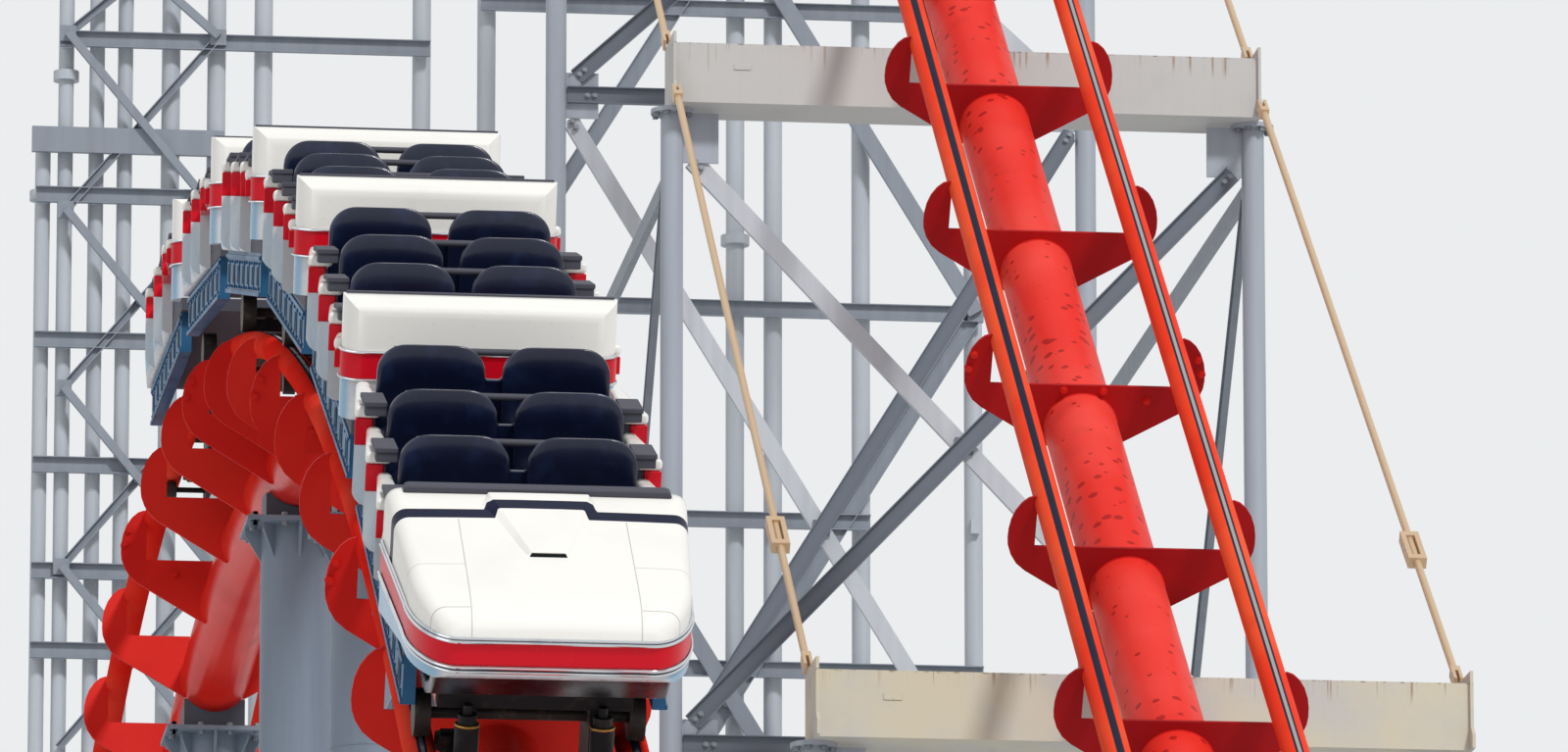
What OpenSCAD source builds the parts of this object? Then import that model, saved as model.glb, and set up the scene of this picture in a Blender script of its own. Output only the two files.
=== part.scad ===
// Roller coaster section: a six-car train on a curved hill track, beside a braced tower
// that carries a second, steep straight track. Millimetres; X across, Y along the tracks, Z up.

/* [Track section] */
// Distance between the two rail centres
gauge = 1100; // [900:10:1300]
// Diameter of the running rails
rail_d = 168; // [120:1:200]
// Diameter of the spine tube under the rails
spine_d = 480; // [360:5:560]
// Drop from the rail centres to the spine's axis
spine_drop = 600; // [520:5:700]
// Thickness of the tie plates
tie_t = 22; // [12:1:40]

/* [Hill track] */
// Radius of the hill, to the rail centres
hill_radius = 37200; // [30000:100:60000]
// Height of the rail centres at the crest
crest_height = 18900; // [15000:50:24000]
// Angle between ties along the hill, in degrees
tie_step = 3.145; // [2.5:0.005:5]
// Number of ties on the hill
hill_ties = 17; // [10:1:18]
// Angle of the first tie before the crest, in degrees
first_tie = 35.75; // [30:0.05:37]
// Track beyond the end ties, in degrees
track_end = 1.6; // [0.8:0.1:2.4]

/* [Drop track] */
// Offset of the drop track from the hill track
drop_x = 5180; // [4500:10:6000]
// Slope of the drop track, in degrees
drop_slope = 36.1; // [25:0.1:45]
// Spacing of the drop track's ties
drop_pitch = 2555; // [1800:5:3000]
// Number of ties on the drop track
drop_ties = 11; // [5:1:12]

/* [Supports] */
// Diameter of the hill columns
hill_column_d = 460; // [300:5:600]
// Thickness of flanges and base plates
plate_t = 30; // [20:1:60]
// Diameter of the tower's pipe columns
pipe_d = 160; // [120:1:220]
// Distance between tower bents
bay = 8400; // [6000:50:9000]
// Length of a cross beam
beam_l = 4140; // [3600:10:5000]
// Height of a cross beam
beam_h = 430; // [300:5:600]
// Width of a cross beam
beam_w = 520; // [300:5:700]
// Width of the bracing channels
brace_w = 130; // [80:1:180]
// Thickness of the bracing channels
brace_t = 50; // [20:1:80]
// Diameter of the tie rods
rod_d = 50; // [30:1:70]

/* [Train] */
// Distance from car to car, along the seats' band
car_pitch = 3600; // [3400:10:4000]
// Distance between seat rows
row_pitch = 800; // [700:5:900]
// Width of a car over the side bands
car_w = 1545; // [1450:5:1600]
// Length of the nose ahead of the dash
nose_len = 1450; // [1000:10:1700]
// Height of the floor's top above the rail centres
floor_z = 640; // [600:5:700]
// Diameter of the road wheels
wheel_d = 250; // [200:2:270]
// Width of the road wheels
wheel_w = 84; // [60:1:90]
// Diameter of the wheel shafts
shaft_d = 60; // [40:1:80]

/* [Hidden] */
$fn = 64;
cars = 6;
run_gap = 5;
fit_gap = 0.3;
bore_gap = 0.05;
rail_r = rail_d / 2;
rail_x = gauge / 2;
spine_r = spine_d / 2;
arc_z = crest_height - hill_radius;
crest_y = 4100;
hill_a0 = -first_tie - track_end;
hill_a1 = -first_tie + (hill_ties - 1) * tie_step + track_end;
hook_x = rail_x + 65;
web_top = -300;
tie_low = -spine_drop - spine_r * 0.56;
drop_y = crest_y - 7720;
drop_z = 16156;
drop_s0 = -drop_pitch - 545;
drop_s1 = drop_s0 + (drop_ties - 1) * drop_pitch + 1950;
beam_x = drop_x + 60;
bent_y0 = crest_y - 5400;
bent_rise = bay * tan(drop_slope);
beam_top0 = 16560;
column_x = beam_l / 2;
pipe_r = pipe_d / 2;
column_r = hill_column_d / 2;
flange_w = hill_column_d + 220;
saddle_l = 400;
saddle_w = spine_d * 0.88;
// The columns' places along the hill, as shares of its radius; the fourth stands under the frame's origin
hill_column_y = [for (n = [-208, -153, -97.5, -crest_y / hill_radius * 372, 34.5, 92]) n / 372 * hill_radius];
crest_column = 3;
near_panel = 4350;
far_panel = 6750;
far_y = crest_y + 16200;
far_top = 27400;
far_x = [-530, -350, -100, 130, 500, 870, 1250, 2540, 3070, 5110, 5420, 6140, 7060];
far_cleat = 130;
far_short = 24950;
far_beam = 210;
far_bar_w = 65;
far_splices = [[0, 24620], [1, 25620], [9, 24400]];
lip_t = 8;
bar_cut = 215;
far_x_top = 23800;
far_x_panel = 6460;
gusset_l = 250;
gusset_t = 20;
gusset_h = 360;
// Levels of the far frame: of its left side, its right side, and the whole
far_left = [25900, 24600, 23400, 22370, 21500, 20850];
far_right = [26300, 23800, 22050, 20820];
far_whole = [16600, 12400, 8200, 4000];
far_x_nodes = [27000, 25940, 24470, 23000, 21530, 20060];

band_z = 940;
band_h = 140;
cap_h = 67;
tooth_rise = 105;
tooth_top = band_z + band_h / 2 + 30;
tooth_base = band_z - band_h / 2 + 25;
floor_t = 80;
tub_x = car_w / 2 - 95;
side_x = car_w / 2;
rib_taper = 67;
row_y = [-row_pitch, 0, row_pitch];
front_y = -row_pitch - 440;
rear_y = 2 * row_pitch;
fairing_t = 160;
hood_z = 1310;
nose_x = side_x;
nose_y = front_y - nose_len;
nose_draw = 57;
nose_corner = [235, 540];
nose_joint = [1010, 970];
nose_room_y = -1700;
panel_x = rail_x + wheel_w / 2 + 13;
wheel_r = wheel_d / 2;
shaft_r = shaft_d / 2;
axle_y = 1350;
nose_axle_y = -1450;
beam_bottom = 400;
carrier_x = 290;
carrier_t = 30;
band_radius = hill_radius + band_z;
car_step = car_pitch / band_radius * 180 / PI;
first_car = -29.47;

// Frames: on the hill's arc, on the drop track, and on each car
module on_hill(a) translate([0, crest_y, arc_z]) rotate([-a, 0, 0]) translate([0, 0, hill_radius]) children();
module on_drop(s) translate([drop_x, drop_y, drop_z]) rotate([drop_slope, 0, 0]) translate([0, s, 0]) children();
module on_car(k) on_hill(first_car + k * car_step) children();
module each_car() for (k = [0 : cars - 1]) on_car(k) children();
module both() { children(); mirror([1, 0, 0]) children(); }

// A round tube bent along the hill
module arc_rod(radius, x, r, a0 = hill_a0, a1 = hill_a1)
    translate([0, crest_y, arc_z]) rotate([0, 90, 0]) rotate([0, 0, 180 - a1])
        rotate_extrude(angle = a1 - a0, $fn = 720) translate([radius, x]) circle(r, $fn = 48);
// A profile across the track, given in the track's own plane
module across(t) rotate([90, 0, 0]) linear_extrude(height = t, center = true) children();
// A side profile, extruded over the width w
module side_profile(w) rotate([90, 0, 90]) linear_extrude(height = w, center = true) children();

module web_2d() difference() {
    polygon([[-hook_x, web_top], [hook_x, web_top], [hook_x, -500], [spine_r * 0.92, tie_low],
        [-spine_r * 0.92, tie_low], [-hook_x, -500]]);
    translate([0, -spine_drop]) circle(spine_r + fit_gap);
}
module hook_2d() difference() {
    translate([rail_x, 0]) polygon([[65, -500], [116, -470], [175, -420], [213, -360], [234, -300],
        [239, -250], [237, -190], [226, -125], [202, -60], [165, -5], [125, 30], [85, 45],
        [40, 30], [40, -40], [65, -56]]);
    translate([rail_x, 0]) circle(rail_r + fit_gap);
}
module each_hill_tie() for (i = [0 : hill_ties - 1]) on_hill(-first_tie + i * tie_step) children();
module each_drop_tie() for (i = [0 : drop_ties - 1]) on_drop((i - 1) * drop_pitch) children();

// Top of a hill column's flange, below the spine at y
function spine_under(y) = arc_z + sqrt(pow(hill_radius - spine_drop - spine_r, 2) - y * y);
function slope_tan(y) = abs(y) / sqrt(pow(hill_radius - spine_drop, 2) - y * y);
function flange_z(y) = spine_under(y) - 70 - flange_w / 2 * slope_tan(y);
function beam_z(j) = beam_top0 + j * bent_rise;
function bent_y(j) = bent_y0 + j * bay;

module hill_spine() color([0.80, 0.12, 0.09]) arc_rod(hill_radius - spine_drop, 0, spine_r);
module hill_rails() color([0.86, 0.16, 0.10]) both() arc_rod(hill_radius, rail_x, rail_r);
module hill_tie_webs() color([0.86, 0.13, 0.09]) each_hill_tie() across(tie_t) web_2d();
module hill_tie_hooks() color([0.90, 0.14, 0.10]) each_hill_tie() both() across(tie_t) hook_2d();

// Saddles carry the spines on the hill columns and on the cross beams
module track_saddles() color([0.33, 0.36, 0.40]) {
    for (y = hill_column_y) difference() {
        translate([-saddle_w / 2, crest_y + y - saddle_l / 2, flange_z(y)]) cube([saddle_w, saddle_l, 1400]);
        on_hill(asin(y / (hill_radius - spine_drop)))
            translate([-1000, -1500, tie_low - 20]) cube([2000, 3000, 3000]);
        arc_rod(hill_radius - spine_drop, 0, spine_r + fit_gap);
    }
    for (j = [0 : 2]) difference() {
        translate([drop_x - saddle_w / 2, bent_y(j) - saddle_l / 2, beam_z(j)])
            cube([saddle_w, saddle_l, 1400]);
        on_drop((bent_y(j) - drop_y) / cos(drop_slope))
            translate([-saddle_w, -4 * saddle_l, tie_low - 20])
                cube([2 * saddle_w, 8 * saddle_l, 6 * saddle_l]);
        on_drop((bent_y(j) - drop_y) / cos(drop_slope)) translate([0, 0, -spine_drop])
            rotate([90, 0, 0]) cylinder(h = 8 * saddle_l, r = spine_r + fit_gap, center = true);
    }
}
module hill_columns() color([0.56, 0.60, 0.65]) for (y = hill_column_y) translate([0, crest_y + y, 0]) {
    translate([0, 0, plate_t]) cylinder(h = flange_z(y) - 2 * plate_t, r = column_r);
    translate([-flange_w / 2, -flange_w / 2, flange_z(y) - plate_t])
        cube([flange_w, flange_w, plate_t]);
}
module column_gussets() color([0.52, 0.56, 0.61])
    for (y = hill_column_y, end = [0, 1]) translate([0, crest_y + y, end == 0 ? flange_z(y) - plate_t : plate_t])
        mirror([0, 0, end]) difference() {
            for (a = [0 : 45 : 315]) rotate([0, 0, a]) translate([0, 10, 0]) rotate([90, 0, 0])
                linear_extrude(height = 20) polygon([[column_r - 30, 0], [flange_w / 2 - 8, 0],
                    [flange_w / 2 - 8, -40], [column_r - 30, -260]]);
            translate([0, 0, -500]) cylinder(h = 600, r = column_r);
        }

module drop_spine() color([0.82, 0.13, 0.10]) on_drop(0) translate([0, drop_s0, -spine_drop])
    rotate([-90, 0, 0]) cylinder(h = drop_s1 - drop_s0, r = spine_r);
module drop_rails() color([0.88, 0.18, 0.11]) on_drop(0) both() translate([rail_x, drop_s0, 0])
    rotate([-90, 0, 0]) cylinder(h = drop_s1 - drop_s0, r = rail_r);
module drop_tie_webs() color([0.80, 0.11, 0.08]) each_drop_tie() across(tie_t) web_2d();
module drop_tie_hooks() color([0.86, 0.12, 0.09]) each_drop_tie() both() across(tie_t) hook_2d();

module cross_beams() color([0.74, 0.72, 0.68]) for (j = [0 : 2])
    translate([beam_x - beam_l / 2, bent_y(j) - beam_w / 2, beam_z(j) - beam_h])
        cube([beam_l, beam_w, beam_h]);
// End plates, with an ear at each corner that takes a tie rod
module beam_end_plates() color([0.66, 0.64, 0.60]) for (j = [0 : 2], side = [-1, 1])
    translate([beam_x + side * (beam_l / 2 + 10), bent_y(j), beam_z(j)])
        side_profile(20) polygon([[-beam_w / 2 - 30, 75], [beam_w / 2 + 30, 75], [beam_w / 2 + 30, -80],
            [beam_w / 2 + 30, -beam_h], [-beam_w / 2 - 90, -beam_h], [-beam_w / 2 - 90, -beam_h + 90],
            [-beam_w / 2 - 30, -beam_h + 150]]);
// Levels of the bracing's joints, on a bent and on the sides of a bay
near_top = -630;
far_node = 24400;
side_low = 2400;
function near_n(j) = floor((beam_z(j) + near_top - 500) / near_panel);
function bent_levels(j) = j < 2 ? [for (i = [0 : near_n(j)]) beam_z(j) + near_top - i * near_panel]
    : concat([beam_z(j) + near_top], [for (i = [0 : 3]) far_node - i * far_panel]);
function side_levels(j) = [for (i = [0 : 2]) side_low + i * (beam_z(j) - 800 - side_low) / 2];
// A gusset plate on a column, in the plane between the front and the back bars
module gusset(z, dir) rotate([0, 0, dir]) translate([0, -gusset_t / 2, z - gusset_h / 2])
    cube([pipe_r + gusset_l, gusset_t, gusset_h]);
module bent_columns() color([0.60, 0.64, 0.69]) for (j = [0 : 2], side = [-1, 1])
    translate([beam_x + side * column_x, bent_y(j), 0]) {
        translate([0, 0, plate_t]) cylinder(h = beam_z(j) - beam_h - plate_t, r = pipe_r);
        translate([0, 0, beam_z(j) - beam_h - plate_t]) cylinder(h = plate_t, r = pipe_r + 70);
        for (z = bent_levels(j)) if (side < 0) gusset(z, 0);
            else mirror([1, 0, 0]) gusset(z, 0);
        if (j < 2) for (z = side_levels(j)) gusset(z, 90);
        if (j > 0) for (z = side_levels(j - 1))
            mirror([0, 1, 0]) gusset(z, 90);
    }
// Bracing channels in an upright plane, each [u1, z1, u2, z2] with its own width if it has one:
// drawn whole for their webs, or as two strips for their lips
module bars(list, lips) for (b = list) {
    w = len(b) > 4 ? b[4] : brace_w;
    l = norm([b[2] - b[0], b[3] - b[1]]);
    translate([b[0], b[1]]) rotate(atan2(b[3] - b[1], b[2] - b[0])) difference() {
        translate([0, -w / 2]) square([l, w]);
        if (lips) translate([-1, lip_t - w / 2]) square([l + 2, w - 2 * lip_t]);
    }
}
// A bar that stops short of its nodes, so that it clears the level bars
function short_bar(u1, z1, u2, z2) = let (k = bar_cut / norm([u2 - u1, z2 - z1]))
    [u1 + (u2 - u1) * k, z1 + (z2 - z1) * k, u2 - (u2 - u1) * k, z2 - (z2 - z1) * k];
module layer(y0, y1) translate([0, y1, 0]) rotate([90, 0, 0]) linear_extrude(height = y1 - y0) children();
module clipped(u1, u2) intersection() {
    union() children();
    translate([u1, 0]) square([u2 - u1, 2 * far_top]);
}
// A braced side: channels open to the front ahead of the gussets' plane, channels open to the back
// behind it, and a packing plate where two of them cross
module lattice(front, back, packs, u1, u2) {
    g = gusset_t / 2;
    layer(-g - brace_t, -g - lip_t) clipped(u1, u2) bars(front, true);
    layer(-g - lip_t, -g) clipped(u1, u2) bars(front, false);
    layer(-g, g) for (p = packs) translate(p) square(brace_w, center = true);
    layer(g, g + lip_t) clipped(u1, u2) bars(back, false);
    layer(g + lip_t, g + brace_t) clipped(u1, u2) bars(back, true);
}
// Cross-braced panels between two columns, one between each pair of levels, from the top down
module panels(u1, u2, z, level_top = false) {
    n = len(z) - 1;
    lattice(concat([for (i = [1 : n]) short_bar(u1, z[i], u2, z[i - 1])],
            [for (i = [level_top ? 0 : 1 : n]) [u1, z[i], u2, z[i]]]),
        [for (i = [1 : n]) short_bar(u1, z[i - 1], u2, z[i])],
        [for (i = [1 : n]) [(u1 + u2) / 2, (z[i] + z[i - 1]) / 2]],
        u1 + pipe_r + 6, u2 - pipe_r - 6);
}
module bent_bracing() color([0.62, 0.65, 0.69]) for (j = [0 : 2]) translate([beam_x, bent_y(j), 0])
    panels(-column_x, column_x, bent_levels(j));
module side_bracing() color([0.40, 0.43, 0.48]) {
    for (j = [0, 1], side = [-1, 1]) translate([beam_x + side * column_x, bent_y(j), 0]) rotate([0, 0, 90])
        panels(0, bay, [for (i = [2 : -1 : 0]) side_levels(j)[i]], true);
    // Struts from the last bent to the far frame
    for (side = [0, 1], z = [5600, 13200, 19400]) strut([beam_x + (2 * side - 1) * column_x, bent_y(2), pipe_r],
        [far_x[side == 0 ? 8 : 12], far_y, far_r(12)], z);
}
// A level strut between two round columns, each [x, y, radius]
module strut(a, b, z) difference() {
    translate([a[0], a[1], z]) rotate([0, 0, atan2(b[1] - a[1], b[0] - a[0])])
        translate([a[2] * 0.7, -brace_t / 2, -brace_w / 2])
            cube([norm([b[0] - a[0], b[1] - a[1]]) - 0.7 * (a[2] + b[2]), brace_t, brace_w]);
    for (c = [a, b]) translate([c[0], c[1], z - brace_w]) cylinder(h = 2 * brace_w, r = c[2]);
}
function far_r(i) = i < 4 ? 62 : 75;
// The far columns, with a cleat at each level to take the bars; the first is short and carries a beam
module far_columns() color([0.62, 0.66, 0.71]) for (i = [0 : len(far_x) - 1]) translate([far_x[i], far_y, 0]) {
    top = i == 0 ? far_short + far_beam - 40 : far_top;
    translate([0, 0, plate_t]) cylinder(h = top - plate_t, r = far_r(i));
    for (z = concat(i < 8 ? far_left : far_right, far_whole, i < 6 ? [far_short + far_beam / 2] : []))
        if (z < top) translate([-35, -far_cleat, z - 60]) cube([70, far_cleat, 120]);
    for (f = far_splices) if (f[0] == i) translate([0, 0, f[1] - 40]) cylinder(h = 80, r = far_r(i) + 42);
}
// Channels open to the front on the cleats, and ahead of them channels open to the back
module far_bracing() color([0.50, 0.54, 0.59]) translate([0, far_y - far_cleat, 0]) {
    left = far_x[8];
    right = far_x[12];
    n = len(far_x_nodes) - 1;
    front = concat([for (z = far_left) [far_x[z < far_short ? 0 : 1] - 60, z, far_x[7] + 60, z]],
        [for (z = far_right) [left - 60, z, far_x[z == far_right[2] ? 11 : 12] + 60, z]],
        [for (z = far_whole) [far_x[0] - 60, z, right + 60, z]],
        [for (i = [1 : n]) [far_x[1], far_x_nodes[i], far_x[5], far_x_nodes[i - 1], far_bar_w]],
        [for (z = far_whole) if (z > 5000) [far_x[0], z - 4200, far_x[7], z]],
        [for (i = [0 : 2]) [left, far_x_top - (i + 1) * far_x_panel, right, far_x_top - i * far_x_panel]],
        [[left, far_x_top, 5225, far_top - 100]]);
    back = concat([for (i = [1 : n]) [far_x[1], far_x_nodes[i - 1], far_x[5], far_x_nodes[i], far_bar_w]],
        [for (z = far_whole) if (z > 5000) [far_x[0], z, far_x[7], z - 4200]],
        [for (i = [0 : 2]) [left, far_x_top - i * far_x_panel, right, far_x_top - (i + 1) * far_x_panel]],
        [[4905, far_top - 100, right, far_x_top]]);
    layer(-2 * brace_t, lip_t - 2 * brace_t) bars(back, false);
    layer(lip_t - 2 * brace_t, -brace_t) bars(back, true);
    layer(-brace_t, -lip_t) {
        bars(front, true);
        for (b = back) for (e = [0, 2]) translate([b[e], b[e + 1]]) square(brace_w, center = true);
        for (b = back) translate([b[0] + b[2], b[1] + b[3]] / 2) square(len(b) > 4 ? b[4] : brace_w, center = true);
        far_head();
    }
    layer(-lip_t, 0) {
        bars(front, false);
        far_head();
    }
}
module far_head() translate([far_x[0] - 100, far_short]) square([far_x[5] - far_x[0] + 160, far_beam]);
module rod_end(y, z, dir) translate([0, y, z]) rotate([dir, 0, 0]) {
    for (s = [-1, 1]) translate([s > 0 ? 10 : -30, -45, -40]) cube([20, 185, 80]);
    translate([-30, 75, -40]) cube([60, 65, 80]);
}
module tie_rods() color([0.66, 0.50, 0.32]) for (j = [0, 1], side = [-1, 1])
    translate([beam_x + side * (beam_l / 2 + 10), 0, 0]) {
        y1 = bent_y(j) + beam_w / 2 - 20;
        z1 = beam_z(j) + 115;
        y2 = bent_y(j + 1) - beam_w / 2 - 130;
        z2 = beam_z(j + 1) - beam_h + 45;
        l = sqrt(pow(y2 - y1, 2) + pow(z2 - z1, 2));
        a = atan2(z2 - z1, y2 - y1);
        rod_end(y1, z1, a);
        rod_end(y2, z2, a + 180);
        translate([0, y1, z1]) rotate([a, 0, 0]) {
            translate([0, 140, 0]) rotate([-90, 0, 0]) cylinder(h = l - 280, r = rod_d / 2);
            translate([0, l * 0.21, 0]) difference() {
                cube([120, 420, 76], center = true);
                cube([56, 300, 80], center = true);
            }
        }
    }
module base_plates() color([0.50, 0.52, 0.55]) {
    for (i = [0 : len(hill_column_y) - 1]) translate([0, crest_y + hill_column_y[i], 0]) difference() {
        translate([-flange_w / 2 - 60, -flange_w / 2 - 60, 0])
            cube([flange_w + 120, flange_w + 120, plate_t]);
        if (i == 0 || i == crest_column || i == 5)
            for (x = [-1, 1], y = [-1, 1]) translate([x * flange_w / 2, y * flange_w / 2, -1])
                cylinder(h = plate_t + 2, r = 20);
    }
    for (j = [0 : 2], side = [-1, 1]) translate([beam_x + side * column_x - 200, bent_y(j) - 200, 0])
        cube([400, 400, plate_t]);
    translate([far_x[0] - 200, far_y - 200, 0]) cube([far_x[12] - far_x[0] + 400, 400, plate_t]);
}

// The saw-toothed plan of one car's side: a wing at the front, then one tooth a row
module side_plan(inner, outer, y0 = front_y) polygon([[inner, y0], [outer, y0],
    [outer - rib_taper * 0.7, row_y[0]], [outer, row_y[0]], [outer - rib_taper, row_y[1]],
    [outer, row_y[1]], [outer - rib_taper, row_y[2]], [outer, row_y[2]],
    [outer - rib_taper, rear_y], [inner, rear_y]]);
// The same teeth seen from the side: every one rises towards its front
tooth_y = [for (n = [-2 : 1]) n * row_pitch];
module tooth_slice(inner, outer) intersection() {
    linear_extrude(height = 2000) side_plan(inner, outer);
    side_profile(3000) children();
}
module round_front_plan(w, y0, y1, r) difference() {
    translate([-w, y0]) square([2 * w, y1 - y0]);
    both() translate([w - r, y0]) difference() {
        translate([0, -1]) square([r + 1, r + 1]);
        translate([0, r]) circle(r);
    }
}
// The nose's plan: sides that draw in towards the front, and long rounded corners
module nose_plan(grow = 0) {
    x = nose_x - nose_draw + grow;
    y = nose_y - grow;
    corner = [for (t = [0 : 7.5 : 90]) [x - nose_corner[0] * (1 - cos(t)), y + nose_corner[1] * (1 - sin(t))]];
    polygon(concat([[nose_x + grow, front_y]], corner, [for (i = [len(corner) - 1 : -1 : 0]) [-corner[i][0], corner[i][1]]],
        [[-nose_x - grow, front_y]]));
}
module nose_body(grow) intersection() {
    translate([0, 0, 500]) linear_extrude(height = 1000) nose_plan(grow);
    side_profile(3 * nose_x) children();
}
// The hollow behind the nose's skin: the foot room, and a lower space ahead of it
module nose_room() {
    translate([-tub_x, nose_room_y, floor_z - floor_t])
        cube([2 * tub_x, front_y + 1 - nose_room_y, 1150 - floor_z + floor_t]);
    translate([-tub_x + 90, nose_y + 420, 800]) cube([2 * tub_x - 180, nose_room_y - nose_y - 419, 240]);
}

module nose_hood() color([0.93, 0.92, 0.90]) on_car(0) {
    difference() {
        nose_body(0) polygon([[front_y, hood_z], [front_y - 90, hood_z], [front_y - 0.83 * nose_len, hood_z - 155],
            [front_y - 0.92 * nose_len, hood_z - 195], [front_y - 0.975 * nose_len, hood_z - 240],
            [nose_y - 8, nose_joint[1]], [front_y, nose_joint[0]]]);
        nose_room();
    }
    intersection() {
        translate([0, 0, 500]) linear_extrude(height = 1000) polygon([[-300, front_y - 90],
            [300, front_y - 90], [300, front_y - 170], [125, front_y - 780], [-125, front_y - 780],
            [-300, front_y - 170]]);
        side_profile(3 * nose_x) polygon([[front_y - 90, hood_z], [front_y - 130, hood_z + 22],
            [front_y - 780, hood_z - 70], [front_y - 780, hood_z - 130], [front_y - 300, hood_z - 80]]);
    }
}
module nose_band() color([0.80, 0.05, 0.10]) on_car(0) difference() {
    nose_body(8) polygon([[nose_y - 8, nose_joint[1]], [front_y, nose_joint[0]],
        [front_y, band_z - band_h / 2], [nose_y - 8, nose_joint[1] - 125]]);
    nose_room();
}
module nose_bumper() color([0.72, 0.76, 0.80]) on_car(0) difference() {
    nose_body(4) polygon([[nose_y - 8, nose_joint[1] - 125], [front_y, band_z - band_h / 2],
        [front_y, floor_z + 10], [front_y - 800, 745], [nose_y + 70, 758], [nose_y - 8, 795]]);
    nose_room();
}
module dash_bar() color([0.07, 0.08, 0.12]) on_car(0) translate([-690, front_y - 85, hood_z])
    cube([1380, 85, 38]);

module fairing_body(z0, z1, w, t) intersection() {
    translate([0, 0, z0]) linear_extrude(height = z1 - z0)
        round_front_plan(w, front_y - t, front_y - 3, 120);
    side_profile(3000) difference() {
        translate([front_y - t, z0]) square([t, z1 - z0]);
        if (z1 > 1200) translate([front_y - t, z1 - 110]) difference() {
            translate([-1, 0]) square([111, 111]);
            translate([110, 0]) circle(110);
        }
    }
}
module each_fairing() for (k = [1 : cars - 1]) on_car(k) children();
module fairings() color([0.92, 0.91, 0.88]) each_fairing()
    fairing_body(band_z + band_h / 2, hood_z, side_x - 35, fairing_t);
module red_bands() color([0.80, 0.05, 0.10]) {
    each_fairing() fairing_body(band_z - band_h / 2, band_z + band_h / 2, side_x - 27, fairing_t + 8);
    each_car() both() tooth_slice(tub_x, side_x) for (y = tooth_y)
        polygon([[y, tooth_base], [y, tooth_top], [y + row_pitch, tooth_top - tooth_rise],
            [y + row_pitch, tooth_base]]);
}
module side_skirts() color([0.62, 0.70, 0.78]) {
    each_fairing() fairing_body(floor_z, band_z - band_h / 2, side_x - 35, fairing_t - 10);
    each_car() both() intersection() {
        translate([0, 0, floor_z - floor_t]) linear_extrude(height = tooth_base - floor_z + floor_t)
            side_plan(tub_x, side_x);
        side_skirt_round();
    }
}
module side_skirt_round() translate([0, 4000, 0]) across(9000) {
    square([side_x - 90, 2000]);
    translate([0, floor_z - floor_t + 90]) square([2000, 2000]);
    translate([side_x - 90, floor_z - floor_t + 90]) circle(90);
}
module side_caps() color([0.93, 0.92, 0.90]) each_car() both()
    tooth_slice(tub_x - 40, side_x + 5) for (y = tooth_y)
        polygon([[y, tooth_top], [y, tooth_top + cap_h], [y + row_pitch, tooth_top + cap_h - tooth_rise],
            [y + row_pitch, tooth_top - tooth_rise]]);
module car_floors() color([0.20, 0.22, 0.26]) for (k = [0 : cars - 1]) on_car(k) {
    y0 = k == 0 ? nose_room_y : front_y - fairing_t + 10;
    translate([-tub_x, y0, floor_z - floor_t]) cube([2 * tub_x, rear_y - y0, floor_t]);
}
module chassis_panels() color([0.24, 0.40, 0.55]) for (k = [0 : cars - 1]) on_car(k) both() {
    y0 = k == 0 ? nose_room_y + 10 : front_y - 60;
    translate([panel_x, y0, 300]) cube([tub_x - 5 - panel_x, rear_y - 40 - y0, floor_z - floor_t - 300]);
}
module chassis_beams() color([0.10, 0.11, 0.13]) for (k = [0 : cars - 1]) on_car(k) {
    y0 = k == 0 ? nose_room_y + 10 : front_y - 60;
    translate([-120, y0, beam_bottom]) cube([240, rear_y - y0, floor_z - floor_t - beam_bottom]);
}
module each_row() each_car() for (y = row_y) translate([0, y, 0]) children();
module seat_cushions() color([0.05, 0.06, 0.10]) each_row() both()
    translate([45, 150, floor_z]) cube([tub_x - 100, 410, 240]);
module seat_backs() color([0.05, 0.06, 0.10]) each_row() both()
    translate([45, 600, floor_z]) across(80) {
        w = tub_x - 100;
        square([w, 480]);
        translate([150, 480]) circle(150);
        translate([w - 150, 480]) circle(150);
        translate([150, 400]) square([w - 300, 230]);
    }
module grab_rails() color([0.04, 0.04, 0.06]) each_row()
    translate([-530, 640, 1200]) cube([1060, 38, 42]);
module arm_pads() color([0.06, 0.06, 0.08]) each_row() both()
    translate([tub_x - 65, 0, tooth_top + cap_h]) rotate([-atan(tooth_rise / row_pitch), 0, 0])
        translate([0, -100, 0]) cube([125, 310, 42]);

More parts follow.
